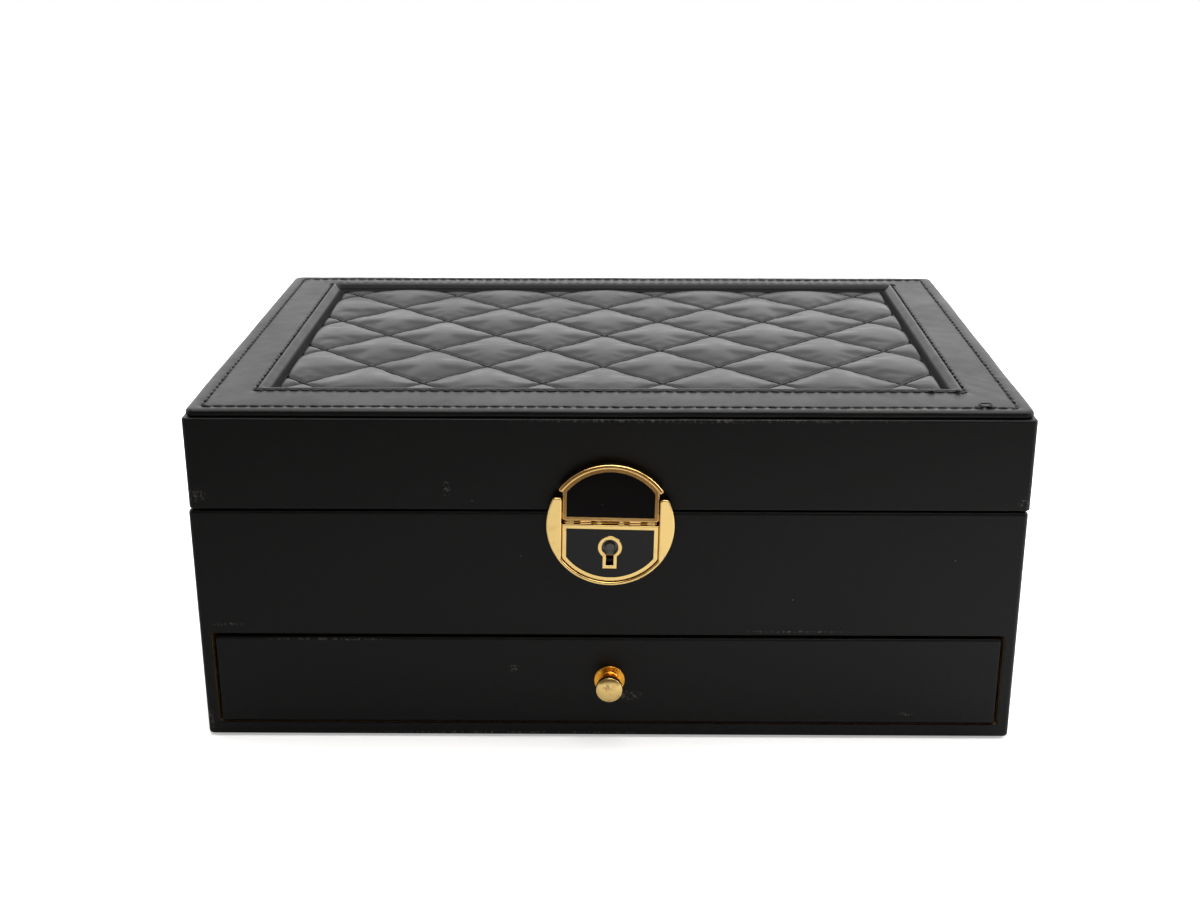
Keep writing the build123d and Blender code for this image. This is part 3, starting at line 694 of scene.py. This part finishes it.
# Along the back the bead falls off steeply into a gutter behind the pad. It changes from the one shape to
# the other over the last few millimetres of each side.
BACK_RISE = {-4.7: 0.42, -4.2: 0.32, -3.6: -0.45, -2.9: -1.5, -2.1: -1.85, -1.2: -1.9, -0.4: -1.95,
             0.0: -2.05}
BACK_CHANGE = 3.0
# Each waver is the length of a wave and its depth.
SLOW_WAVER = (26.0, 0.10)
QUICK_WAVER = (5.0, 0.05)
EDGE_WAVER = (22.0, 0.22)
STITCH_PULL = 0.07
CREASE_BEGINS = 0.25                    # below the panel's top, and how much deeper it is full
CREASE_DEPTH = 0.8
BEAD_WIDTH = 4


def mark_creases(mesh, amounts):
    """Store how deep in a crease each point lies, for the leather to read."""
    mesh.attributes.new(CREASE, "FLOAT", "POINT").data.foreach_set("value", amounts)


def in_bead(place):
    """Whether a point of the panel lies in the bead or the opening."""
    x, y, _ = place / MM
    return (opening["front"] - BEAD_WIDTH < y < opening["back"] + BEAD_WIDTH
            and abs(x - LID_SHIFT) < opening["x"] + BEAD_WIDTH)


def crease_of(place):
    sunk = (PANEL_TOP - CREASE_BEGINS - place.z / MM) / CREASE_DEPTH
    return min(1.0, max(0.0, sunk)) if in_bead(place) else 0.0


def panel_piece():
    vertices = []
    for number, (base, inward, rise, radius) in enumerate(STATIONS):
        points = ring(grown(base, -inward), radius, SIDE_STEPS)
        for index, point in enumerate(points):
            z = PANEL_TOP + rise
            if base is opening and number < len(STATIONS) - 1:
                start = opening["back"] - inward - BACK_CHANGE
                share = min(1.0, max(0.0, (point.y - start) / BACK_CHANGE))
                z += share * (BACK_RISE.get(inward, rise) - rise)
            if 2 < number < len(STATIONS) - 3:
                z += waver(point.x, point.y, *SLOW_WAVER) + waver(point.x, point.y, *QUICK_WAVER)
            sideways = waver(point.x + 40, point.y, *EDGE_WAVER) if number < 8 else 0.0
            if inward in (OUTER_ROW, -INNER_ROW):
                z -= STITCH_PULL * (1 + math.sin(2 * math.pi * index / STITCH_PITCH))
            out = point.normalized() * sideways
            vertices.append(Vector((point.x + out.x + LID_SHIFT, point.y + out.y, z)) * MM)
    count = len(points)
    faces = []
    for row in range(len(STATIONS)):
        after = (row + 1) % len(STATIONS)
        for step in range(count):
            beside = (step + 1) % count
            faces.append((row * count + step, row * count + beside, after * count + beside,
                          after * count + step))
    piece = new_piece("lid_leather_panel", vertices, faces, materials["panel_leather"], "lid")
    mark_creases(piece.data, [crease_of(vertex.co) for vertex in piece.data.vertices])
    face_outwards(piece.data)
    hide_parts("lid_frame_cover", "lid_frame_core")
    print("panel triangles:", triangles(piece.data))


panel_piece()

# %% [markdown]
# The quilted pad is leather sewn through foam along two sets of crossing lines. Cutting the sheet along
# those lines matters more than anything else, so the grid is laid out in the seams' own two directions:
# every seam then runs along mesh edges. The sheet starts as shallow pillows, is pinned along the seams,
# and a cloth simulation blows the foam up under it. A cap keeps any point from rising too far. After
# that the seams are pressed in, and the sheet gets sides and an underside to make a closed cushion.

# %% The quilt's layout
CELL_X = 19.4
CELL_Y = 19.5
FIRST_CROSSING = (-2.0, -53.9)
CELL_STEPS = 14
SEAM_Z = 109.2
SEAM_REACH = 9                          # seams counted each way from the first crossing
SIDE_CLEARANCE = 0.55                   # room left between the pad and the bead at the sides
END_CLEARANCE = 0.05                    # and at the front and back
CUT_MARGIN = 3                          # how far past the pad the sheet goes before it is cut
MERGE_WITHIN = 0.12
PUFF = 1.3                              # height of a pillow above its seams
PUFF_ROUNDNESS = 0.62
PUFF_VARIETY = 0.25
EDGE_DROP = 0.35
EDGE_ROLL = 1.6


def quilt_place(s, t):
    """From seam coordinates, where whole numbers are seams, to the lid's plan."""
    return Vector((FIRST_CROSSING[0] + CELL_X * (s + t + 1), FIRST_CROSSING[1] + CELL_Y * (s - t), 0))


def seam_coordinates(x, y):
    a = (x - FIRST_CROSSING[0]) / CELL_X
    b = (y - FIRST_CROSSING[1]) / CELL_Y
    return (a + b - 1) / 2, (a - b - 1) / 2


def seam_distance(x, y):
    """How far a point is from the nearest seam, in millimetres."""
    s, t = seam_coordinates(x, y)
    return min(abs(s - round(s)), abs(t - round(t))) * 2 * CELL_X * CELL_Y / math.hypot(CELL_X, CELL_Y)


def pillow(x, y, low, high):
    """The rise of the leather above the seam line."""
    s, t = seam_coordinates(x, y)
    across = max(0.0, 4 * (s % 1) * (1 - s % 1)) * max(0.0, 4 * (t % 1) * (1 - t % 1))
    variety = waver(math.floor(s) * 9.1, math.floor(t) * 7.7, 3.0, PUFF_VARIETY)
    rise = PUFF * across ** PUFF_ROUNDNESS * (1 + variety)
    margin = min(x - low.x, high.x - x, y - low.y, high.y - y)
    roll_over = 1 - min(1.0, max(0.0, margin) / EDGE_ROLL)
    return rise - EDGE_DROP * roll_over ** 2


def quilt_sheet():
    """The flat sheet, cut along clean edges so that it just meets the bead round the opening."""
    low = pad_low - Vector((PAD_GAP - SIDE_CLEARANCE, PAD_GAP - END_CLEARANCE, 0))
    high = pad_high + Vector((PAD_GAP - SIDE_CLEARANCE, PAD_GAP - END_CLEARANCE, 0))
    work = bmesh.new()
    reach = SEAM_REACH * CELL_STEPS
    grid = {}
    for i in range(-reach, reach + 1):
        for j in range(-reach, reach + 1):
            place = quilt_place(i / CELL_STEPS, j / CELL_STEPS)
            if (low.x - CUT_MARGIN < place.x < high.x + CUT_MARGIN
                    and low.y - CUT_MARGIN < place.y < high.y + CUT_MARGIN):
                grid[i, j] = work.verts.new(place)
    for (i, j) in grid:
        quad = [grid.get(key) for key in ((i, j), (i + 1, j), (i + 1, j + 1), (i, j + 1))]
        if all(quad):
            work.faces.new(quad)
    for point, normal in (((low.x, 0, 0), (-1, 0, 0)), ((high.x, 0, 0), (1, 0, 0)),
                          ((0, low.y, 0), (0, -1, 0)), ((0, high.y, 0), (0, 1, 0))):
        everything = work.verts[:] + work.edges[:] + work.faces[:]
        bmesh.ops.bisect_plane(work, geom=everything, plane_co=point, plane_no=normal, clear_outer=True,
                               dist=0.02)
    bmesh.ops.remove_doubles(work, verts=work.verts, dist=MERGE_WITHIN)
    for vertex in work.verts:
        x, y = vertex.co.x, vertex.co.y
        vertex.co.z = SEAM_Z + pillow(x, y, low, high)
        vertex.co *= MM
    bmesh.ops.recalc_face_normals(work, faces=work.faces)
    if sum(face.normal.z for face in work.faces) < 0:
        bmesh.ops.reverse_faces(work, faces=work.faces)
    mesh = bpy.data.meshes.new("quilted_cushion")
    work.to_mesh(mesh)
    work.free()
    return mesh


# %% Blow up the foam under the pinned sheet
SIMULATED_FRAMES = 16
PRESSURE = 0.4
MOST_RISE = 0.22
PINNED_WITHIN = 0.3                     # points this near a seam are held by it


def inflate(sheet):
    """Run the cloth, then keep its shape as far as the cap lets each point move."""
    pins = sheet.vertex_groups.new(name="seams")
    rest = [vertex.co.copy() for vertex in sheet.data.vertices]
    held = [index for index, place in enumerate(rest)
            if seam_distance(place.x / MM, place.y / MM) < PINNED_WITHIN]
    edge_count = {}
    for polygon in sheet.data.polygons:
        for key in polygon.edge_keys:
            edge_count[key] = edge_count.get(key, 0) + 1
    held += [index for key, uses in edge_count.items() if uses == 1 for index in key]
    pins.add(sorted(set(held)), 1.0, "REPLACE")
    cloth = sheet.modifiers.new("foam", "CLOTH")
    settings = cloth.settings
    settings.vertex_group_mass = "seams"
    settings.quality = 6
    settings.mass = 0.25
    settings.tension_stiffness = settings.compression_stiffness = 12.0
    settings.shear_stiffness = 8.0
    settings.bending_stiffness = 0.6
    settings.air_damping = 6.0
    settings.use_pressure = True
    settings.uniform_pressure_force = PRESSURE
    settings.shrink_min = -0.005
    settings.effector_weights.gravity = 0.0
    for number in range(1, SIMULATED_FRAMES + 1):
        scene.frame_set(number)
    settled = plain_mesh(sheet)
    sheet.modifiers.remove(cloth)
    moved = 0.0
    for vertex, start in zip(settled.vertices, rest):
        step = vertex.co - start
        if step.length > MOST_RISE * MM:
            step = step.normalized() * MOST_RISE * MM
        vertex.co = start + step
        moved = max(moved, step.length)
    scene.frame_set(1)
    print("foam moved the leather by up to", round(moved / MM, 2), "mm")
    return settled


# %% Press in the seams and close the pad
CHANNEL_DEPTH = 0.5
CHANNEL_WIDTH = 0.42
CREASE_WIDTH = 0.55
PUCKER_HEIGHT = 0.07
PUCKER_REACH = 3.0
PUCKER_SIZE = 1.9
SOFT_WAVER = (14.0, 0.12)


def press_seams(mesh):
    """Sink the seam channels and pucker the leather beside them."""
    mark_creases(mesh, [math.exp(-(seam_distance(vertex.co.x / MM, vertex.co.y / MM) / CREASE_WIDTH) ** 2)
                        for vertex in mesh.vertices])
    for vertex in mesh.vertices:
        x, y, z = vertex.co / MM
        near = seam_distance(x, y)
        channel = CHANNEL_DEPTH * math.exp(-(near / CHANNEL_WIDTH) ** 2)
        fold = noise.noise(Vector((x / PUCKER_SIZE, y / PUCKER_SIZE, 3.0)))
        pucker = PUCKER_HEIGHT * math.exp(-near / PUCKER_REACH) * fold
        vertex.co.z = (z - channel + pucker + waver(x, y, *SOFT_WAVER)) * MM


def close_cushion(mesh, floor_z):
    """Give the sheet sides and a flat underside."""
    work = bmesh.new()
    work.from_mesh(mesh)
    rim = [edge for edge in work.edges if edge.is_boundary]
    sides = bmesh.ops.extrude_edge_only(work, edges=rim)["geom"]
    lowered = [item for item in sides if isinstance(item, bmesh.types.BMVert)]
    for vertex in lowered:
        vertex.co.z = floor_z * MM
    rim = [edge for edge in work.edges if edge.is_boundary]
    bmesh.ops.holes_fill(work, edges=rim, sides=0)
    bmesh.ops.triangulate(work, faces=[face for face in work.faces if len(face.verts) > 8])
    bmesh.ops.recalc_face_normals(work, faces=work.faces)
    work.to_mesh(mesh)
    work.free()


def quilted_cushion():
    mesh = quilt_sheet()
    sheet = bpy.data.objects.new("quilted_cushion", mesh)
    scene.collection.objects.link(sheet)
    sheet.data = inflate(sheet)
    sheet.vertex_groups.clear()
    finer = sheet.modifiers.new("finer", "SUBSURF")
    finer.levels = finer.render_levels = 1
    finer.boundary_smooth = "PRESERVE_CORNERS"
    smooth = plain_mesh(sheet)
    sheet.modifiers.remove(finer)
    press_seams(smooth)
    close_cushion(smooth, pad_low.z)
    smooth.materials.append(materials["quilt_leather"])
    smooth.shade_smooth()
    sheet.data = smooth
    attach(sheet, "lid")
    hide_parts("quilted_pad")
    tops = [vertex.co.z / MM for vertex in smooth.vertices]
    print("cushion triangles:", triangles(smooth), "top", round(max(tops), 2))


quilted_cushion()

# %% [markdown]
# Stitches repeat by the hundred, so they are made by Geometry Nodes: a line is cut into even steps, a
# short rounded stitch is set on each step and turned to follow it, and a seeded random value makes them
# a little uneven, as a sewing machine in thick leather does. The tree ends as real geometry with its
# material, and the result is turned into a plain mesh.

# %% The stitch tree
def stitch_tree():
    tree = bpy.data.node_groups.new("stitches", "GeometryNodeTree")
    face = tree.interface
    face.new_socket("Geometry", in_out="INPUT", socket_type="NodeSocketGeometry")
    for label, kind, value in (("Pitch", "NodeSocketFloat", 0.0037), ("Length", "NodeSocketFloat", 0.0028),
                               ("Thickness", "NodeSocketFloat", 0.00055), ("Skew", "NodeSocketFloat", 0.12),
                               ("Seed", "NodeSocketInt", 1), ("Thread", "NodeSocketMaterial", None)):
        socket = face.new_socket(label, in_out="INPUT", socket_type=kind)
        if value is not None:
            socket.default_value = value
    face.new_socket("Geometry", in_out="OUTPUT", socket_type="NodeSocketGeometry")
    given = node(tree, "NodeGroupInput").outputs
    steps = node(tree, "GeometryNodeResampleCurve", {"Curve": given["Geometry"], "Length": given["Pitch"]},
                 mode="LENGTH")
    tangent = node(tree, "GeometryNodeInputTangent").outputs[0]
    follow = node(tree, "FunctionNodeAlignRotationToVector", {"Vector": tangent}, axis="X")
    lean = node(tree, "FunctionNodeRandomValue", {"Seed": given["Seed"]}, data_type="FLOAT")
    tree.links.new(given["Skew"], lean.inputs[3])
    tree.links.new(maths(tree, "MULTIPLY", given["Skew"], -1.0), lean.inputs[2])
    yaw = node(tree, "ShaderNodeCombineXYZ", {"Z": lean.outputs[1]})
    turn = node(tree, "FunctionNodeRotateRotation",
                {"Rotation": follow.outputs[0],
                 "Rotate By": node(tree, "FunctionNodeEulerToRotation", {0: yaw.outputs[0]}).outputs[0]},
                rotation_space="LOCAL")
    uneven = node(tree, "FunctionNodeRandomValue", {2: 0.82, 3: 1.12, "Seed": given["Seed"]},
                  data_type="FLOAT").outputs[1]
    length = maths(tree, "MULTIPLY", maths(tree, "MULTIPLY", given["Length"], 0.5), uneven)
    half = maths(tree, "MULTIPLY", given["Thickness"], 0.5)
    size = node(tree, "ShaderNodeCombineXYZ", {0: length, 1: half, 2: half})
    bead = node(tree, "GeometryNodeMeshUVSphere", {"Segments": 8, "Rings": 6, "Radius": 1.0})
    lying = node(tree, "GeometryNodeTransform", {"Geometry": bead.outputs[0],
                                                 "Rotation": (0, math.radians(90), 0)})
    placed = node(tree, "GeometryNodeInstanceOnPoints",
                  {"Points": steps.outputs[0], "Instance": lying.outputs[0], "Rotation": turn.outputs[0],
                   "Scale": size.outputs[0]})
    real = node(tree, "GeometryNodeRealizeInstances", {0: placed.outputs[0]})
    smooth = node(tree, "GeometryNodeSetShadeSmooth", {0: real.outputs[0]})
    coated = node(tree, "GeometryNodeSetMaterial", {"Geometry": smooth.outputs[0],
                                                    "Material": given["Thread"]})
    node(tree, "NodeGroupOutput", {0: coated.outputs[0]})
    return tree


STITCHES = stitch_tree()
print("stitch inputs:", [item.name for item in STITCHES.interface.items_tree if item.in_out == "INPUT"])

# %% Sew along lines
def thread_line(name, lines, kind):
    """A curve object with one spline for each list of points in millimetres."""
    curve = bpy.data.curves.new(name, "CURVE")
    curve.dimensions = "3D"
    for line in lines:
        spline = curve.splines.new(kind)
        spline.points.add(len(line) - 1)
        for point, place in zip(spline.points, line):
            point.co = (*(Vector(place) * MM), 1)
    source = bpy.data.objects.new(name + "_line", curve)
    scene.collection.objects.link(source)
    return source


def sew(name, lines, seed, closed=False, **sizes):
    """Lay stitches along lines of points in millimetres and keep them as a plain mesh on the lid."""
    source = thread_line(name, lines, "POLY")
    for spline in source.data.splines:
        spline.use_cyclic_u = closed
    sewn = source.modifiers.new("stitches", "NODES")
    sewn.node_group = STITCHES
    wanted = {**sizes, "Seed": seed, "Thread": materials["thread"]}
    for item in STITCHES.interface.items_tree:
        if item.in_out == "INPUT" and item.name in wanted:
            sewn[item.identifier] = wanted[item.name]
    mesh = plain_mesh(source)
    bpy.data.objects.remove(source)
    keep_piece(name, mesh, "lid")
    print(name, "triangles:", triangles(mesh))


# %% The two rows on the panel
ROW_STEPS = (60, 90, 60, 90)
ROW_THREAD = {"Thickness": 0.0009, "Length": 0.0032, "Skew": 0.28}      # metres, metres and radians


def row(base, inward, rise, radius):
    points = ring(grown(base, -inward), radius, ROW_STEPS)
    return [(point.x + LID_SHIFT, point.y, PANEL_TOP + rise + waver(point.x, point.y, *SLOW_WAVER))
            for point in points]


sew("outer_stitch_row", [row(outside, OUTER_ROW, -0.02, 1.1)], 11, closed=True, **ROW_THREAD)
sew("inner_stitch_row", [row(opening, -INNER_ROW, 0.02, 0.7)], 12, closed=True, **ROW_THREAD)

# %% The quilting stitches along every seam
SEAM_SAMPLES = 20                       # points for each cell of a seam
SEAM_END = 0.6                          # how far from the pad's edge the stitching stops
THREAD_SUNK = 0.02


def quilt_seams():
    """Each seam, walked from one edge of the pad to the other."""
    low, high = pad_low, pad_high
    reach = SEAM_REACH * SEAM_SAMPLES
    lines = []
    for fixed in range(-SEAM_REACH, SEAM_REACH + 1):
        for along_s in (True, False):
            walked = []
            for step in range(-reach, reach + 1):
                s, t = (step / SEAM_SAMPLES, fixed) if along_s else (fixed, step / SEAM_SAMPLES)
                x, y, _ = quilt_place(s, t)
                if (low.x + SEAM_END < x < high.x - SEAM_END
                        and low.y + SEAM_END < y < high.y - SEAM_END):
                    z = SEAM_Z - THREAD_SUNK + pillow(x, y, low, high) + waver(x, y, *SOFT_WAVER)
                    walked.append((x, y, z))
            if len(walked) > 3:
                lines.append(walked)
    return lines


sew("quilting_stitches", quilt_seams(), 13, Thickness=0.0006, Length=0.0038, Skew=0.03)

# %% [markdown]
# Where the sewing ended, the machine left a slack loop on the outer row and two small knots on the inner
# one. They are single threads, so each is a curve with a round section: a circle that also drifts along
# the row makes a loop, and more turns of a smaller circle make a knot.

# %% Loose thread ends
THREAD_RADIUS = 0.24
COIL_POINTS = 14                        # for each turn


def coil(centre, across, deep, rise, turns, drift):
    """Points of a thread that turns about a centre on the panel while it drifts to the right."""
    points = []
    count = int(turns * COIL_POINTS)
    for step in range(count + 1):
        angle = math.pi + 2 * math.pi * turns * step / count
        along = step / count - 0.5
        lift = rise * math.sin(math.pi * step / count)
        points.append((centre[0] + across * math.cos(angle) + drift * along,
                       centre[1] + deep * math.sin(angle), PANEL_TOP + 0.1 + lift))
    return points


def loose_threads():
    row_y = outside["front"] + OUTER_ROW
    inner_y = opening["front"] - INNER_ROW
    ends = [coil((115.2, row_y + 0.9), 2.3, 1.2, 0.7, 1.5, 1.5),
            coil((101.5, inner_y), 0.8, 0.5, 0.4, 2.5, 0.8), coil((109.8, inner_y), 0.7, 0.5, 0.5, 2.0, 0.6)]
    source = thread_line("loose_threads", ends, "NURBS")
    for spline in source.data.splines:
        spline.order_u = 3
        spline.use_endpoint_u = True
    source.data.bevel_depth = THREAD_RADIUS * MM
    source.data.bevel_resolution = 2
    source.data.use_fill_caps = True
    mesh = plain_mesh(source)
    bpy.data.objects.remove(source)
    mesh.materials.clear()
    mesh.materials.append(materials["thread"])
    keep_piece("loose_threads", mesh, "lid")
    print("loose threads triangles:", triangles(mesh))


loose_threads()

# %% [markdown]
# The ring bay is filled with rolls of foam under velvet. A ring is pushed between two rolls, so each
# roll is a soft bar: rounded on top, tucked in at its ends and swollen a little in the middle. Each one
# is lofted from sections along its length, with a slight wander so that no two are alike.

# %% Ring rolls
ROLL_COUNT = 10
ROLL_SECTIONS = 30
ROLL_POINTS = 26
ROLL_TUCK = 0.16                        # how much an end is drawn in, as a share of the section
ROLL_GAP = 0.9                          # between two rolls
ROLL_MARGIN = 0.05                      # between the rolls and the ends and floor of their space
ROLL_END = 0.2                          # left free at each end of a roll
ROLL_FILL = 0.93                        # a roll's height as a share of its space
ROLL_WANDER = 0.02
# powers of the section's sine and cosine: the smaller, the squarer
SIDE_POWER, TOP_POWER, BOTTOM_POWER = 0.55, 0.8, 0.4


def ring_rolls():
    low, high = (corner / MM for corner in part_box("ring_rolls"))
    pitch = (high.y - low.y - 2 * ROLL_MARGIN + ROLL_GAP) / ROLL_COUNT
    half = (pitch - ROLL_GAP) / 2
    height = (high.z - low.z) / 2
    vertices, faces = [], []
    for number in range(ROLL_COUNT):
        centre_y = low.y + half + ROLL_MARGIN + number * pitch
        first = len(vertices)
        for section in range(ROLL_SECTIONS + 1):
            along = section / ROLL_SECTIONS
            tuck = (1 - abs(2 * along - 1) ** 9) ** 0.5 * ROLL_TUCK + 1 - ROLL_TUCK
            reach = height * (ROLL_FILL * tuck + ROLL_WANDER * math.sin(3 * along + number))
            x = low.x + ROLL_END + along * (high.x - low.x - 2 * ROLL_END)
            for step in range(ROLL_POINTS):
                angle = 2 * math.pi * step / ROLL_POINTS
                across, up = math.cos(angle), math.sin(angle)
                power = TOP_POWER if up > 0 else BOTTOM_POWER
                y = centre_y + math.copysign(abs(across) ** SIDE_POWER, across) * half * tuck
                z = low.z + height + math.copysign(abs(up) ** power, up) * reach
                vertices.append(Vector((x, y, max(z, low.z + ROLL_MARGIN))) * MM)
        faces += tube_faces(first, ROLL_SECTIONS + 1, ROLL_POINTS)
    piece = new_piece("velvet_ring_rolls", vertices, faces, materials["cushion_velvet"], "case")
    face_outwards(piece.data)
    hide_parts("ring_rolls")
    print("ring rolls triangles:", triangles(piece.data))


ring_rolls()

# %% [markdown]
# The drawer's knob is turned from bar: a flange against the leather, a straight neck and a domed button.
# A turned part is one half outline carried round an axis, so its outline is listed once and spun. The
# edges are small arcs, because a polished edge always shows as a bright line.

# %% Turned knob
KNOB_STEPS = 96
FLANGE_THICKNESS = 1.3
BUTTON_START = 5.8
BUTTON_RADIUS = 4.2
DOME_RADIUS = 14.0
EDGE_ROUND = 0.35
FACE_ROUND = 0.3
# the outline's points are (radius, distance from the leather)
NECK = [(3.7, 1.34), (3.3, 1.5), (3.1, 1.9), (3.0, 2.8), (3.0, 4.6), (3.1, 5.45), (3.5, 5.78)]


def arc(centre, radius, start, end, steps=5):
    """Points of a small round in the outline: (radius, height) pairs."""
    return [(centre[0] + radius * math.cos(math.radians(start + (end - start) * step / steps)),
             centre[1] + radius * math.sin(math.radians(start + (end - start) * step / steps)))
            for step in range(steps + 1)]


def dome(radius):
    """How far the button's face has dropped at a radius."""
    return DOME_RADIUS - math.sqrt(DOME_RADIUS ** 2 - radius ** 2)


def knob():
    low, high = (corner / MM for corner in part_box("drawer_knob"))
    centre = Vector(((low.x + high.x) / 2, high.y, (low.z + high.z) / 2))
    length = high.y - low.y
    flange = (high.x - low.x) / 2
    outline = [(1.1, 0.0), (flange - 0.1, 0.0)]
    outline += arc((flange - EDGE_ROUND, FLANGE_THICKNESS - EDGE_ROUND), EDGE_ROUND, 0, 90) + NECK
    outline += arc((BUTTON_RADIUS - EDGE_ROUND, BUTTON_START + EDGE_ROUND), EDGE_ROUND, 270, 360)
    outline += arc((BUTTON_RADIUS - FACE_ROUND, length - dome(BUTTON_RADIUS) - FACE_ROUND), FACE_ROUND, 0, 75)
    outline += [(BUTTON_RADIUS * share, length - dome(BUTTON_RADIUS * share))
                for share in (0.85, 0.7, 0.5, 0.3, 0.12)]
    vertices = []
    for radius, height in outline:
        for step in range(KNOB_STEPS):
            angle = 2 * math.pi * step / KNOB_STEPS
            vertices.append((centre + Vector((radius * math.cos(angle), -height,
                                              radius * math.sin(angle)))) * MM)
    faces = tube_faces(0, len(outline), KNOB_STEPS)
    piece = new_piece("turned_knob", vertices, faces, materials["knob_gold"], "drawer")
    face_outwards(piece.data)
    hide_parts("drawer_knob")
    print("knob triangles:", triangles(piece.data))


knob()
